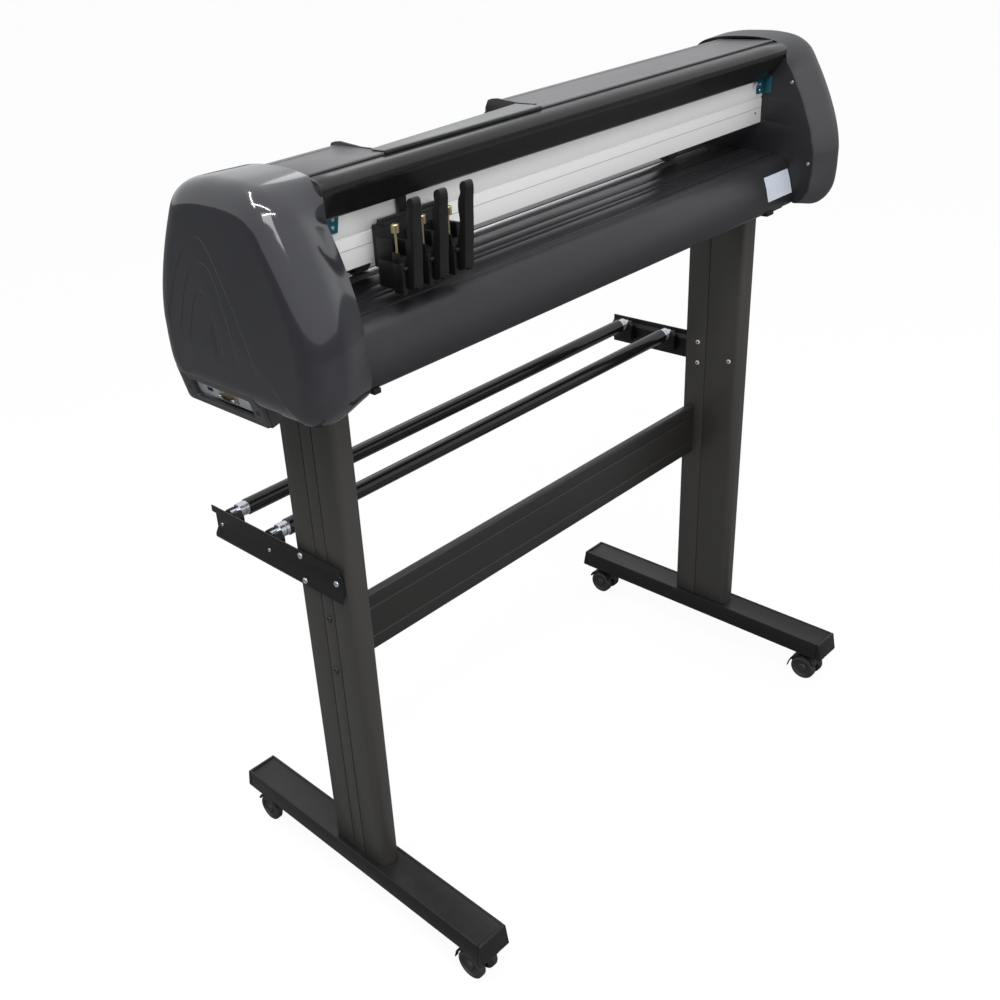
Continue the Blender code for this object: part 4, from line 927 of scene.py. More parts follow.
@dataclass
class SocketBezel:
    """The moulded frame round the data sockets, with its two screws and the sockets' details."""

    window: Window
    drop: float = -0.0040
    socket: tuple[float, float] = (-0.0030, -0.0060)

    def build(self) -> None:
        """Makes the frame in place of the CAD node, and the parts in it."""
        w = self.window
        rows = [w.loop(-0.0004, 0.005, -0.016), w.loop(-0.0004, 0.005, 0.0002)]
        for turn in np.radians(np.linspace(0, 90, 6)):
            rows.append(w.loop(-0.0004 - 0.0016 * (1 - math.cos(turn)), 0.005,
                               0.0002 + 0.0016 * math.sin(turn)))
        narrow = Window(w.origin, w.up, w.across, 0.0120, 0.0550, 0.003)
        for inset, lift in ((0.0, 0.0018), (-0.0004, 0.0015), (-0.0007, 0.0008), (-0.0007, -0.0040)):
            rows.append(narrow.loop(inset, 0.003, lift, self.drop))
        shape = Shape().grid(np.array(rows), around=True, inside=tuple(w.world(np.array((0, 0, -0.1)))))
        shape.piece("bezel_frame", BEZEL_SKIN, "machine", ("interface_bezel",), sharp=50)
        screws, out = Shape(), tuple(w.axes()[2])
        for across in (0.0635, -0.0635):
            place = tuple(w.world(np.array((-0.0045, across, 0.0016))))
            ScrewHead(0.0030, 0.0008, Drive.CROSS).onto(screws, place, out)
        screws.piece("bezel_screws", MOTOR_BLACK, "machine")
        h, l = self.socket
        parts = Shape()
        shell = Window(tuple(w.world(np.array((h, l, 0.0)))), w.up, w.across, 0.0042, 0.0085, 0.0022)
        rows = [shell.loop(0.0, None, c) for c in (-0.012, 0.0004)] + [shell.loop(-0.0006, 0.0018, c) for c in
                                                                       (0.0004, -0.0032)]
        parts.grid(np.array(rows), around=True, inside=tuple(w.world(np.array((h, l, -0.1)))))
        flange = Window(tuple(w.world(np.array((h, l, 0.0)))), w.up, w.across, 0.00625, 0.0155, 0.0012)
        rows = np.array([flange.loop(0.0, None, -0.0041), flange.loop(0.0, None, -0.0030)])
        parts.grid(rows, around=True, capped=True)
        parts.piece("socket_shell", DULL_GOLD, "machine", ("serial_socket",))
        posts = Shape()
        for side in (-1, 1):
            place = tuple(w.world(np.array((h, l + side * 0.0125, -0.0031))))
            posts.lathe([(0, 0), (0.0026, 0), (0.0026, 0.0040), (0.0022, 0.0046), (0.0012, 0.0046),
                         (0.0012, 0.0010),
                         (0, 0.0010)], place, out, 24)
        posts.piece("socket_posts", ZINC, "machine")
        # The dark core inside the socket shell and the slot beside it use the shadow-gap finish. Their black
        # is partly the insulator's own colour and partly painted shade in the socket's hollow and in the
        # slot.
        dark = Shape()
        core = Window(tuple(w.world(np.array((h, l, 0.0)))), w.up, w.across, 0.0034, 0.0076, 0.0016)
        dark.grid(np.array([core.loop(0.0, None, -0.006), core.loop(0.0, None, -0.0012)]), around=True,
                  capped=True)
        slot = Window(tuple(w.world(np.array((-0.0030, 0.0300, 0.0)))), w.up, w.across, 0.0022, 0.0048,
                      0.0008)
        dark.grid(np.array([slot.loop(0.0, None, -0.0043), slot.loop(0.0, None, -0.0036)]), around=True,
                  capped=True)
        dark.piece("socket_insulation_and_shade", SHADOW_GAP, "machine")


@dataclass
class Hood:
    """The thin hood: its profile carried along the machine, left out over the rear recess."""

    lip: tuple[float, float] = (-0.0600, 0.1717)
    nose: tuple[float, float] = (-0.0830, 0.2035)
    top: float = 0.2190
    wall: float = 0.0024
    notch_front: float = -0.0450
    notch: tuple[float, float] = (-0.3130, -0.0610)

    def profile(self) -> Array:
        """(y, z) points from the front lip over the round nose and the flat top to the rear lip."""
        front = np.linspace(self.lip, self.nose, 12)
        t = np.linspace(0, 1, 22)[1:, None]
        start, knee, end = (np.array(p) for p in (self.nose, (-0.0815, self.top + 0.0002),
                                                  (-0.0585, self.top)))
        bow = (1 - t) ** 3 * start + 3 * (1 - t) ** 2 * t * (start + (-0.0012,
                0.0100)) + 3 * (1 - t) * t ** 2 * knee
        bow = bow + t ** 3 * end
        places = np.unique(np.append(np.linspace(-0.0585, 0.0240, 12)[1:], self.notch_front))
        flat = np.stack([places, np.full(len(places), self.top)], 1)
        rear = curve_through([(0.0240, self.top), (0.0330, self.top - 0.0065), (0.0435, self.top - 0.020),
                              (0.0520, self.top - 0.043)], 16, closed=False)[1:]
        return np.concatenate([front, bow, flat, rear])

    def build(self) -> bpy.types.Object:
        """Makes the hood in place of the CAD node.

        Returns:
            The piece.
        """
        low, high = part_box("hood")
        start, end = MID_X + self.notch[0], MID_X + self.notch[1]
        x = np.unique(np.concatenate([np.linspace(low.x, start, 6), np.linspace(start, end, 6),
                                      np.linspace(end, high.x, 12)]))
        line = self.profile()
        line[:, 1] += BODY_Z
        rows = np.empty((len(x), len(line), 3))
        rows[:, :, 0] = x[:, None]
        rows[:, :, 1:] = line[None]
        n, m = len(x), len(line)
        i, j = np.meshgrid(np.arange(n - 1), np.arange(m - 1), indexing="ij")
        mid_x = (x[i] + x[i + 1]) / 2
        flat = line[:, 1] > BODY_Z + self.top - 0.0001
        first = int(np.argmax(flat & (line[:, 0] > self.notch_front - 0.0001)))
        keep = ~((mid_x > start) & (mid_x < end) & (j >= first))
        quads = np.stack([i * m + j, (i + 1) * m + j, (i + 1) * m + j + 1, i * m + j + 1], -1)[keep]
        points = rows.reshape(-1, 3)
        corner = points[quads]
        normal = np.cross(corner[:, 2] - corner[:, 0], corner[:, 3] - corner[:, 1]).sum(0)
        faces = quads if normal[2] > 0 else quads[:, ::-1]
        used, index = np.unique(faces, return_inverse=True)
        shape = Shape().add(points[used], index.reshape(-1, 4).tolist())
        inside = np.array((-0.030, BODY_Z + 0.190))
        plug = Shape().prism(inside + (line[:-1] - inside) * 0.994, low.x - 0.0030, low.x)
        plug.piece("hood_plug", BLACK_PAINT, "machine")
        return shape.piece("hood_skin", HOOD_PAINT, "machine", ("hood",), wall=self.wall, bevel=0.0006,
                           sharp=35)


@dataclass
class Lid:
    """The grey lid with its groove, and the light strip in front of the recess with its dark lip, which is
    painted shade for the strip's shaded front and the shadow line below it.
    """

    front: float = -0.0615
    rear: float = 0.0220
    low: float = 0.2193
    high: float = 0.2215
    notch: tuple[float, float] = (-0.3130, -0.0610)
    notch_front: float = -0.0450

    def build(self) -> None:
        """Makes the lid in place of the CAD node, and its trim."""
        x0, x1 = MID_X - SPAN, MID_X + SPAN
        n0, n1 = (MID_X + n for n in self.notch)
        line = [(x0, self.front), (x1, self.front), (x1, self.rear), (n1, self.rear), (n1, self.notch_front),
                (n0, self.notch_front), (n0, self.rear), (x0, self.rear)]
        lid = Shape().prism(np.array(line), BODY_Z + self.low, BODY_Z + self.high, 2)
        lid.piece("lid_plate", TOP_GREY, "machine", ("top_cover",), bevel=0.0005)
        top = BODY_Z + self.high
        groove, half, rear = Shape(), 0.0006, self.rear - 0.0090
        for start, end in ((x0, n0), (n1, x1 - 0.0060)):
            groove.box((start, rear - half, top - 0.0003), (end, rear + half, top + 0.00008))
        groove.box((x1 - 0.0060 - half, self.front + 0.002, top - 0.0003),
                   (x1 - 0.0060 + half, rear, top + 0.00008))
        groove.piece("lid_groove", SHADOW_GAP, "machine")
        end, dark = n0 + 0.2385, Shape()
        strip = [(n0 - 0.006, self.front + 0.0015), (end, self.front + 0.0015), (end, -0.0240),
                 (n0 - 0.006, -0.0420)]
        bright = Shape().prism(np.array(strip), top + 0.0010, top + 0.0019, 2)
        bright.piece("trim_strip", TRIM_GREY, "machine", bevel=0.0003)
        # The dark lip is painted shade: a hood-black band along the strip's front that stands in for the
        # strip's shaded front face and the shadow line it casts on the hood.
        loop = [(self.front - 0.0020, top + 0.0016), (self.front + 0.0015, top + 0.0019),
                (self.front + 0.0015, top - 0.0010), (self.front - 0.0024, top - 0.0018)]
        dark.prism(np.array(loop), n0 - 0.006, end)
        dark.piece("trim_lip_painted_shade", HOOD_PAINT, "machine", bevel=0.0004)


@dataclass
class Rail:
    """Small marks on the aluminium rail and the brackets that hold its ends."""

    front: float = -0.0500

    def build(self) -> None:
        """Makes the fine line, the hole, the teal brackets and their screws."""
        face = self.front
        fine = Shape().box((MID_X - SPAN, face - 0.00012, BODY_Z + 0.1313),
                           (MID_X + SPAN, face + 0.0002, BODY_Z + 0.1317))
        fine.piece("rail_line", MOTOR_BLACK, "machine")
        hole = Shape().lathe([(0, 0), (0.0016, 0), (0.0016, 0.0002), (0, 0.0002)],
                             (MID_X + 0.4060, face, BODY_Z + 0.1255), (0, -1, 0), 24)
        hole.piece("rail_hole", SHADOW_GAP, "machine")
        left = np.array([(-SPAN + 0.0003, 0.1745), (-SPAN + 0.0003, 0.1545), (-0.3835, 0.1535),
                         (-0.3795, 0.1745)])
        left += (MID_X, BODY_Z)
        shape = Shape().prism(left, face - 0.0025, face - 0.0003, 1)
        shape.box((MID_X - SPAN + 0.0003, face - 0.0145, BODY_Z + 0.1545),
                  (MID_X - SPAN + 0.0025, face - 0.0003, BODY_Z + 0.1735))
        shape.piece("teal_bracket_left", TEAL, "machine", ("rail_bracket_left",), bevel=0.0003)
        shape = Shape()
        shape.box((MID_X + 0.4045, face - 0.0025, BODY_Z + 0.1515),
                  (MID_X + SPAN - 0.0003, face - 0.0003, BODY_Z + 0.1745))
        shape.box((MID_X + SPAN - 0.0025, face - 0.0145, BODY_Z + 0.1515),
                  (MID_X + SPAN - 0.0003, face - 0.0003, BODY_Z + 0.1745))
        shape.piece("teal_bracket_right", TEAL, "machine", ("rail_bracket_right",), bevel=0.0003)
        bright = Shape()
        for x, z in ((-0.3889, 0.1683), (-0.3896, 0.1598), (0.4100, 0.1640), (0.4105, 0.1560)):
            ScrewHead(0.0021, 0.0012).onto(bright, (MID_X + x, face - 0.0025, BODY_Z + z), (0, -1, 0))
        bright.lathe([(0, 0), (0.0042, 0), (0.0042, 0.0050), (0.0030, 0.0056), (0, 0.0056)],
                     (MID_X + 0.3985, face, BODY_Z + 0.1650), (0, -1, 0), 32)
        bright.piece("bracket_screws", ZINC, "machine")


@dataclass
class Carriage:
    """The tool block: its stations, levers, knobs and the toothed strip behind it."""

    start: float = -0.3434
    pitch: float = 0.0383
    lever: float = 0.0105
    base: float = 0.0850

    def station(self, index: int) -> float:
        """Where a station's knob stands along the machine."""
        return MID_X + self.start + index * self.pitch

    def build(self) -> None:
        """Makes the block in place of the CAD node, then its levers and knobs."""
        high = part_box("carriage")[1]
        z = BODY_Z + self.base
        x0, x1 = MID_X - 0.3365, MID_X - 0.2415
        block = Shape().box((x0, -0.0700, z + 0.020), (x1, -0.0512, z + 0.0650))
        block.box((x0 + 0.004, -0.0800, z + 0.020), (x1 - 0.004, -0.0690, z + 0.034))
        block.box((x0 + 0.002, -0.0690, z + 0.0640), (x1 - 0.010, -0.0560, z + 0.0672))
        for index in range(3):
            x = self.station(index)
            block.box((x - 0.0020, -0.0900, z + 0.004), (x + 0.0245, -0.0660, z + 0.034))
            block.box((x - 0.0024, -0.1030, z), (x + 0.0030, -0.0890, z + 0.0330))
            block.box((x - 0.0024, -0.1000, z + 0.032), (x - 0.0006, -0.0890, z + 0.0440))
            block.box((x + 0.0185, -0.1030, z), (x + 0.0245, -0.0890, z + 0.026))
            block.box((x - 0.0020, -0.0880, z + 0.033), (x + 0.0015, -0.0660, z + 0.0560))
            block.box((x + 0.0020, -0.1010, z + 0.002), (x + 0.0190, -0.0860, z + 0.010))
            block.box((x + 0.0190, -0.0880, z + 0.033), (x + 0.0245, -0.0660, z + 0.0500))
        block.box((self.station(1) + self.lever - 0.006, -0.0560, z + 0.055),
                  (self.station(1) + self.lever + 0.006, -0.0526, BODY_Z + 0.1805))
        block.box((self.station(1) + self.lever - 0.006, -0.0560, BODY_Z + 0.1775),
                  (self.station(1) + self.lever + 0.006, high.y, BODY_Z + 0.1805))
        block.piece("tool_block", MOULDED, "carriage", ("carriage",), bevel=0.0007)
        comb = Shape()
        for k in range(24):
            left = x0 + 0.005 + k * 0.0037
            comb.box((left, -0.0610, z + 0.0655), (left + 0.0022, -0.0545, z + 0.0700))
        comb.piece("toothed_strip", MOTOR_BLACK, "carriage", bevel=0.0003)
        for index in range(3):
            self.clamp_lever(index)
            self.knob(index)

    def clamp_lever(self, index: int) -> None:
        """Makes one kinked lever with a hooked top, its side view carried across its width."""
        side = [(-0.1020, 0.0900), (-0.1000, 0.1000), (-0.1020, 0.1170), (-0.1060, 0.1320), (-0.1075, 0.1450),
                (-0.1060, 0.1560), (-0.1070, 0.1660), (-0.1100, 0.1730), (-0.1085, 0.1780), (-0.1095, 0.1825),
                (-0.1135, 0.1850), (-0.1175, 0.1845), (-0.1192, 0.1790), (-0.1175, 0.1690), (-0.1165, 0.1570),
                (-0.1160, 0.1440), (-0.1150, 0.1260), (-0.1135, 0.1100), (-0.1115, 0.0920)]
        line = curve_through(side, 96)
        half = 0.0066 - 0.0013 * smoothstep((line[:, 1] - 0.1700) / 0.0100)
        x = self.station(index) + self.lever
        rows = np.stack([np.column_stack([x + way * half, line[:, 0], BODY_Z + line[:, 1]]) for way in (-1,
                1)])
        shape = Shape().grid(rows, around=True, capped=True)
        shape.lathe([(0, -0.0112), (0.0022, -0.0112), (0.0022, 0.0112), (0, 0.0112)],
                    (x, -0.1035, BODY_Z + 0.1120),
                    (1, 0, 0), 24)
        shape.piece(f"kinked_lever_{index + 1}", MOULDED, f"clamp_lever_{index + 1}",
                    (f"clamp_lever_{index + 1}",),
                    bevel=0.0006)

    def knob(self, index: int) -> None:
        """Makes one knurled brass knob on its thin screw."""
        z, low = BODY_Z + self.base, 0.0330
        rings = [(0.0, 0.0737), (0.0030, 0.0737), (0.0038, 0.0731)]
        rings += [(0.0042, h) for h in np.linspace(0.0724, 0.0652, 12)]
        rings += [(0.0037, 0.0644), (0.0024, 0.0640), (0.0013, 0.0636), (0.0013, low), (0.0, low)]
        shape = Shape().lathe(rings, (self.station(index), -0.0950, z), (0, 0, 1), 144,
                              (24, 0.00035, 0.0652, 0.0724))
        shape.piece(f"knurled_knob_{index + 1}", BRASS, f"thumb_screw_{index + 1}",
                    (f"thumb_screw_{index + 1}",),
                    sharp=50)


@dataclass
class Cradle:
    """The two media rollers with their zinc collars, and the bolts and rivets of their brackets."""

    def build(self) -> None:
        """Makes the rollers in place of the CAD nodes, and the fasteners."""
        for end in ("front", "rear"):
            low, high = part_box(f"media_roller_{end}")
            mid, tip, r = (low + high) / 2, (high.x - low.x) / 2, (high.z - low.z) / 2
            shoulder, body = tip - 0.0106, tip - 0.0246
            tube = [(0, -body), (r - 0.0008, -body), (r, -body + 0.0008), (r, body - 0.0008),
                    (r - 0.0008, body), (0, body)]
            Shape().lathe(tube, tuple(mid), (1, 0, 0), 96).piece(
                f"roller_tube_{end}", ROLLER_BLACK, f"media_roller_{end}", (f"media_roller_{end}",))
            collars = Shape()
            for side in (-1, 1):
                collar = [(0, body), (0.0095, body), (0.0095, body + 0.0050), (0.0086, body + 0.0056),
                          (0.0086, body + 0.0070), (0.0095, body + 0.0076), (0.0095, shoulder - 0.0006),
                          (0.0088, shoulder), (0.0045, shoulder), (0.0045, tip - 0.0006), (0.0039, tip),
                          (0, tip)]
                collars.lathe(collar, tuple(mid), (side, 0, 0), 64)
            collars.piece(f"roller_collars_{end}", ZINC, f"media_roller_{end}")
        heads, rivets = Shape(), Shape()
        for side in (-1, 1):
            low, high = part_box(f"roller_bracket_{'left' if side < 0 else 'right'}")
            outer = low.x if side < 0 else high.x
            for y, z, depth in ((0.024, 0.5490, 0.0), (0.022, 0.5140, 0.0010), (-0.034, 0.5300, 0.0050)):
                ScrewHead(0.0042, 0.0024).onto(heads, (outer - side * depth, y, z), (side, 0, 0))
            for y, z in ((0.197, 0.5280), (0.096, 0.5270)):
                ScrewHead(0.0028, 0.0013, Drive.PLAIN).onto(rivets, (outer - side * 0.0050, y, z),
                                                            (side, 0, 0))
                inner = (low.x if side > 0 else high.x)
                if y > 0.1:
                    ScrewHead(0.0024, 0.0012, Drive.PLAIN).onto(rivets, (inner, y, z), (-side, 0, 0))
        heads.piece("bracket_bolts", ZINC, "machine")
        rivets.piece("bracket_rivets", STEEL, "machine")


@dataclass
class Castor:
    """One twin-wheel castor: two turned wheels on its axle, and a brake tab on the front ones."""

    side: str
    end: str

    def build(self) -> None:
        """Makes the wheels in place of the CAD node."""
        name = f"{self.side}_{self.end}"
        low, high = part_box(f"caster_wheels_{name}")
        mid, r, out = (low + high) / 2, (high.z - low.z) / 2, (high.x - low.x) / 2
        near, tyre = 0.00525, Shape()
        for way in (-1, 1):
            profile = [(0, near), (0.0060, near), (r - 0.0030, near)]
            for turn in np.radians(np.linspace(0, 90, 7)):
                profile.append((r - 0.0030 + 0.0030 * math.sin(turn), near + 0.0030 * (1 - math.cos(turn))))
            for turn in np.radians(np.linspace(0, 90, 7)):
                profile.append((r - 0.0030 + 0.0030 * math.cos(turn), out - 0.0030 + 0.0030 * math.sin(turn)))
            profile += [(0.0142, out), (0.0136, out - 0.0010), (0.0134, out - 0.0022), (0.0070, out - 0.0028),
                        (0.0062, out - 0.0010), (0.0055, out - 0.0004), (0, out - 0.0004)]
            tyre.lathe(profile, tuple(mid), (way, 0, 0), 72)
        tyre.lathe([(0, -near - 0.0005), (0.0030, -near - 0.0005), (0.0030, near + 0.0005),
                    (0, near + 0.0005)],
                   tuple(mid), (1, 0, 0), 24)
        tyre.piece(f"twin_wheels_{name}", RUBBER, f"wheels_{name}", (f"caster_wheels_{name}",))
        if self.end == "front":
            tabs = Shape()
            for way in (-1, 1):
                x = mid.x + way * 0.0115
                rows = []
                for t in np.linspace(0, 1, 10):
                    angle = math.radians(24 - 40 * t)
                    reach = r + 0.0040 + 0.0050 * t ** 2
                    half = 0.0046 - 0.0014 * t
                    y, z = mid.y + reach * math.cos(angle), mid.z + reach * math.sin(angle)
                    rows.append([(x - half, y, z - 0.0010), (x + half, y, z - 0.0010),
                                 (x + half, y, z + 0.0012),
                                 (x - half, y, z + 0.0012)])
                tabs.grid(np.array(rows), around=True, capped=True)
            tabs.piece(f"brake_tabs_{name}", MOULDED, f"caster_{name}", bevel=0.0004)


@dataclass
class Stand:
    """Screws, bolt ends and small tabs on the legs and under the body."""

    def build(self) -> None:
        """Makes them."""
        sockets, cream, holes = Shape(), Shape(), Shape()
        for side in ("left", "right"):
            low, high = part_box(f"leg_{side}")
            sign = -1 if side == "left" else 1
            outer, inner = (low.x, high.x) if sign < 0 else (high.x, low.x)
            for z in (0.4670, 0.3895):
                ScrewHead(0.0042, 0.0026, Drive.SOCKET).onto(sockets, (outer, -0.0075, z), (sign, 0, 0))
            for y, z in ((0.0181, 0.5560), (0.0175, 0.5208), (-0.0384, 0.5351)):
                ScrewHead(0.0036, 0.0016, Drive.PLAIN).onto(cream, (inner, y, z), (-sign, 0, 0))
                ScrewHead(0.0016, 0.0004, Drive.PLAIN).onto(holes, (inner - sign * 0.0015, y, z),
                                                            (-sign, 0, 0))
        sockets.piece("leg_screws", MOTOR_BLACK, "machine")
        cream.piece("bolt_ends", CREAM, "machine")
        holes.piece("bolt_end_holes", SHADOW_GAP, "machine")
        small = Shape()
        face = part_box("side_plate_right")[0].x
        for y, z in ((-0.0942, 0.1667), (-0.1277, 0.0580)):
            ScrewHead(0.0024, 0.0012).onto(small, (face, y, BODY_Z + z), (-1, 0, 0))
        small.piece("plate_screws", STEEL, "machine")
        tabs = Shape().box((MID_X + 0.3530, -0.1100, BODY_Z - 0.0030),
                           (MID_X + 0.3700, -0.0980, BODY_Z + 0.0030))
        tabs.box((MID_X - 0.4060, -0.1110, BODY_Z - 0.0040), (MID_X - 0.3960, -0.1020, BODY_Z + 0.0020))
        tabs.box((MID_X + 0.3700, -0.1060, BODY_Z - 0.0010), (MID_X + 0.4000, -0.1000, BODY_Z + 0.0020))
        tabs.piece("apron_tabs", MOULDED, "machine", bevel=0.0008)
        z = np.linspace(0.0165, 0.0495, 14)
        y = np.interp(z, (0.0100, 0.0360, 0.0530), (-0.1090, -0.1025, -0.0965)) - 0.0004
        x = np.linspace(MID_X + 0.3575, MID_X + 0.4200, 8)
        rows = np.empty((len(z), len(x), 3))
        rows[:, :, 0], rows[:, :, 1], rows[:, :, 2] = x[None, :], y[:, None], BODY_Z + z[:, None]
        label = Shape().grid(rows, inside=(MID_X, 0.0, BODY_Z))
        label.piece("bare_label", BARE_LABEL, "machine", wall=0.0002)


def stage() -> None:
    """A pale floor and a white surround that the camera and the reflections see, over a plain even light."""
    world = bpy.data.worlds.new("studio")
    bpy.context.scene.world = world
    world.use_nodes = True
    nodes, links = world.node_tree.nodes, world.node_tree.links
    plain = nodes["Background"]
    plain.inputs["Color"].default_value = (0.95, 0.97, 1.0, 1.0)
    plain.inputs["Strength"].default_value = 0.80
    seen = nodes.new("ShaderNodeBackground")
    seen.inputs["Color"].default_value = (1.0, 1.0, 1.0, 1.0)
    seen.inputs["Strength"].default_value = 1.0
    path = nodes.new("ShaderNodeLightPath")
    either = nodes.new("ShaderNodeMath")
    either.operation = "MAXIMUM"
    links.new(path.outputs["Is Camera Ray"], either.inputs[0])
    glossy = nodes.new("ShaderNodeMath")
    glossy.operation = "MULTIPLY"
    glossy.inputs[1].default_value = 0.26
    links.new(path.outputs["Is Glossy Ray"], glossy.inputs[0])
    links.new(glossy.outputs[0], either.inputs[1])
    through = nodes.new("ShaderNodeMath")
    through.operation = "MAXIMUM"
    links.new(either.outputs[0], through.inputs[0])
    links.new(path.outputs["Is Transmission Ray"], through.inputs[1])
    mix = nodes.new("ShaderNodeMixShader")
    links.new(through.outputs[0], mix.inputs["Fac"])
    links.new(plain.outputs[0], mix.inputs[1])
    links.new(seen.outputs[0], mix.inputs[2])
    links.new(mix.outputs[0], nodes["World Output"].inputs["Surface"])
    mesh = bpy.data.meshes.new("floor")
    mesh.from_pydata([(-40, -40, 0), (40, -40, 0), (40, 40, 0), (-40, 40, 0)], [], [(0, 1, 2, 3)])
    floor = bpy.data.objects.new("floor", mesh)
    bpy.context.scene.collection.objects.link(floor)
    paper = bpy.data.materials.new("pale_floor")
    paper.use_nodes = True
    nodes, links = paper.node_tree.nodes, paper.node_tree.links
    base = nodes["Principled BSDF"]
    base.inputs["Roughness"].default_value = 0.8
    base.inputs["Specular IOR Level"].default_value = 0.1
    glow = nodes.new("ShaderNodeEmission")
    glow.inputs["Strength"].default_value = 1.0
    path = nodes.new("ShaderNodeLightPath")
    share = nodes.new("ShaderNodeMath")
    share.operation = "MULTIPLY"
    share.inputs[1].default_value = 0.93
    tone = nodes.new("ShaderNodeMix")
    tone.data_type = "RGBA"
    tone.inputs[6].default_value = (0.20, 0.20, 0.20, 1.0)
    tone.inputs[7].default_value = (0.86, 0.86, 0.87, 1.0)
    links.new(path.outputs["Is Camera Ray"], tone.inputs[0])
    links.new(tone.outputs[2], base.inputs["Base Color"])
    both = nodes.new("ShaderNodeMath")
    both.operation = "ADD"
    both.use_clamp = True
    links.new(path.outputs["Is Camera Ray"], both.inputs[0])
    links.new(path.outputs["Is Transmission Ray"], both.inputs[1])
    links.new(both.outputs[0], share.inputs[0])
    mix = nodes.new("ShaderNodeMixShader")
    links.new(share.outputs[0], mix.inputs["Fac"])
    links.new(base.outputs[0], mix.inputs[1])
    links.new(glow.outputs[0], mix.inputs[2])
    links.new(mix.outputs[0], nodes["Material Output"].inputs["Surface"])
    floor.data.materials.append(paper)


@dataclass(frozen=True)
class SoftBox:
    """One area lamp that looks at the machine."""

    name: str
    place: Point
    aim: Point
    size: tuple[float, float]
    power: float
    mirrored: bool = True

    def build(self) -> None:
        """Makes the lamp."""
        lamp = bpy.data.lights.new(self.name, "AREA")
        lamp.shape = "RECTANGLE"
        lamp.size, lamp.size_y = self.size
        lamp.energy = self.power
        made = bpy.data.objects.new(self.name, lamp)
        made.location = self.place
        made.visible_glossy = self.mirrored
        made.rotation_euler = (Vector(self.aim) - Vector(self.place)).to_track_quat("-Z", "Y").to_euler()
        bpy.context.scene.collection.objects.link(made)


def camera() -> None:
    """The viewpoint, in front of the machine's left end and above it."""
    turn, dip, roll = (math.radians(a) for a in (39.266, 27.781, 6.247))
    ahead = Vector((math.sin(turn) * math.cos(dip), math.cos(turn) * math.cos(dip), -math.sin(dip)))
    right = Vector((math.cos(turn), -math.sin(turn), 0.0))
    down = ahead.cross(right)
    across = math.cos(roll) * right + math.sin(roll) * down
    below = -math.sin(roll) * right + math.cos(roll) * down
    data = bpy.data.cameras.new("camera")
    data.sensor_width, data.lens = 36.0, 40.70
    data.shift_x, data.shift_y = 0.1376, -0.0100
    made = bpy.data.objects.new("camera", data)
    axes = Matrix((across, -below, -ahead)).transposed().to_4x4()
    made.matrix_world = Matrix.Translation((-1.1019, -0.9333, 1.2444)) @ axes
    bpy.context.scene.collection.objects.link(made)
    bpy.context.scene.camera = made


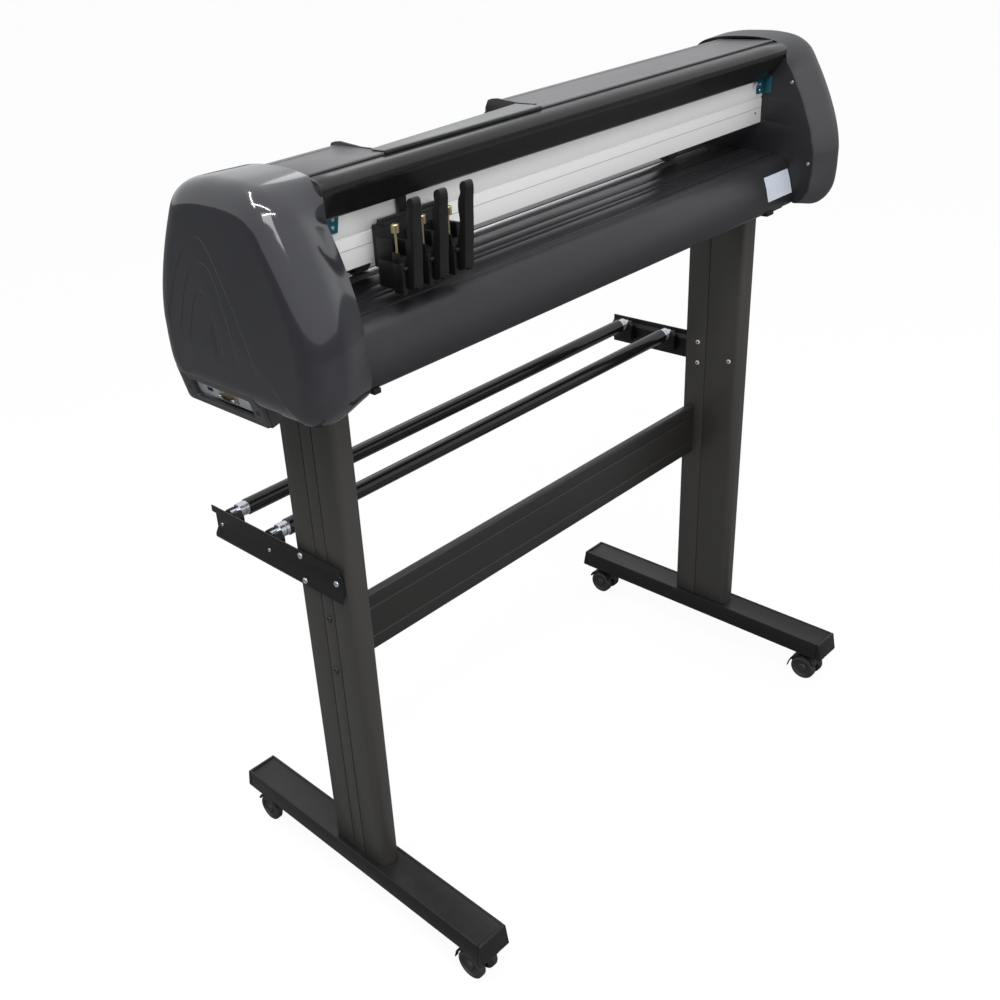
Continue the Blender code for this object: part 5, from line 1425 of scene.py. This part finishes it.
def dress_cad_nodes() -> None:
    """Finishes of the CAD nodes that show as they are."""
    for side in ("left", "right"):
        dress(f"leg_{side}", STAND)
        dress(f"foot_{side}", STAND_ALONG_Y, 0.0006)
        dress(f"roller_bracket_{side}", STAND_ALONG_Y, 0.0003)
        dress(f"side_plate_{side}", BLACK_PAINT, 0.0003)
        dress(f"rail_bracket_{side}", TEAL, 0.0003)
        dress(f"pinch_arm_{side}", MOULDED)
        dress(f"pinch_roller_{side}", RUBBER)
        dress(f"end_cover_{side}", GLOSS_COVER, 0.0)
        for end in ("front", "rear"):
            dress(f"foot_cap_{side}_{end}", MOULDED, 0.0008)
            dress(f"roller_seat_{side}_{end}", MOULDED, 0.0006)
            dress(f"caster_fork_{side}_{end}", MOULDED, 0.0006)
            dress(f"caster_wheels_{side}_{end}", RUBBER, 0.0006)
    for node, finish in (
        ("tie_bar", STAND_ALONG_X), ("platen", BLACK_PAINT), ("guide_rail", ALUMINIUM), ("hood", HOOD_PAINT),
        ("top_cover", TOP_GREY), ("recess_tray", HOOD_PAINT), ("interface_bezel", MOULDED),
        ("interface_plate", LIGHT_PLATE), ("serial_socket", BRASS), ("power_inlet", MOULDED),
                         ("power_switch", MOULDED),
        ("feed_motor", MOTOR_BLACK), ("carriage_motor", MOTOR_BLACK), ("pinch_rod", STEEL),
                         ("lift_lever", STEEL),
        ("drive_belt", RUBBER), ("drive_pulley", ALUMINIUM), ("idler_pulley", ALUMINIUM),
                         ("grit_shaft", STEEL),
        ("carriage", MOULDED), ("media_roller_front", ROLLER_BLACK), ("media_roller_rear", ROLLER_BLACK),
        ("clamp_lever_1", MOULDED), ("clamp_lever_2", MOULDED), ("clamp_lever_3", MOULDED),
        ("thumb_screw_1", BRASS), ("thumb_screw_2", BRASS), ("thumb_screw_3", BRASS),
    ):
        dress(node, finish, 0.0004)


def main() -> None:
    """Builds the stage, the sub-assemblies and the finishes in order."""
    logging.basicConfig(level=logging.INFO, format="%(name)s: %(message)s")
    bpy.context.scene.view_settings.view_transform = "Standard"
    camera()
    stage()
    for lamp in (
        SoftBox("key", (-1.6, -1.5, 2.9), (0.0, 0.0, 0.7), (1.6, 1.0), 26.0),
        SoftBox("fill", (1.8, -2.2, 1.9), (0.0, 0.0, 0.6), (1.6, 1.6), 10.0, False),
        SoftBox("front", (-0.3, -2.6, 1.0), (0.0, 0.0, 0.93), (2.0, 0.7), 27.0, False),
        SoftBox("back", (2.1, 2.1, 2.7), (-0.3, 0.0, 0.9), (0.9, 0.8), 3.2),
        SoftBox("strip_1", (-0.9, -1.1, 2.7), (-0.5, 0.0, 0.9), (1.8, 0.05), 16.0),
        SoftBox("strip_2", (-0.9, -0.3, 2.9), (-0.5, 0.0, 0.9), (1.8, 0.05), 16.0),
        SoftBox("strip_3", (-0.9, 0.6, 2.9), (-0.5, 0.0, 0.9), (1.8, 0.06), 16.0),
    ):
        lamp.build()
    dress_cad_nodes()
    EndCover("left", GLOSS_COVER, socket_window()).build()
    # The right cover's lighter grey is a painted sheen over the same moulding as the left cover.
    EndCover("right", SATIN_COVER_PAINTED_SHEEN, inlet_window()).build()
    SocketBezel(socket_window()).build()
    Hood().build()
    Lid().build()
    Rail().build()
    Carriage().build()
    Cradle().build()
    for side in ("left", "right"):
        for end in ("front", "rear"):
            Castor(side, end).build()
    Stand().build()


if __name__ == "__main__":
    main()
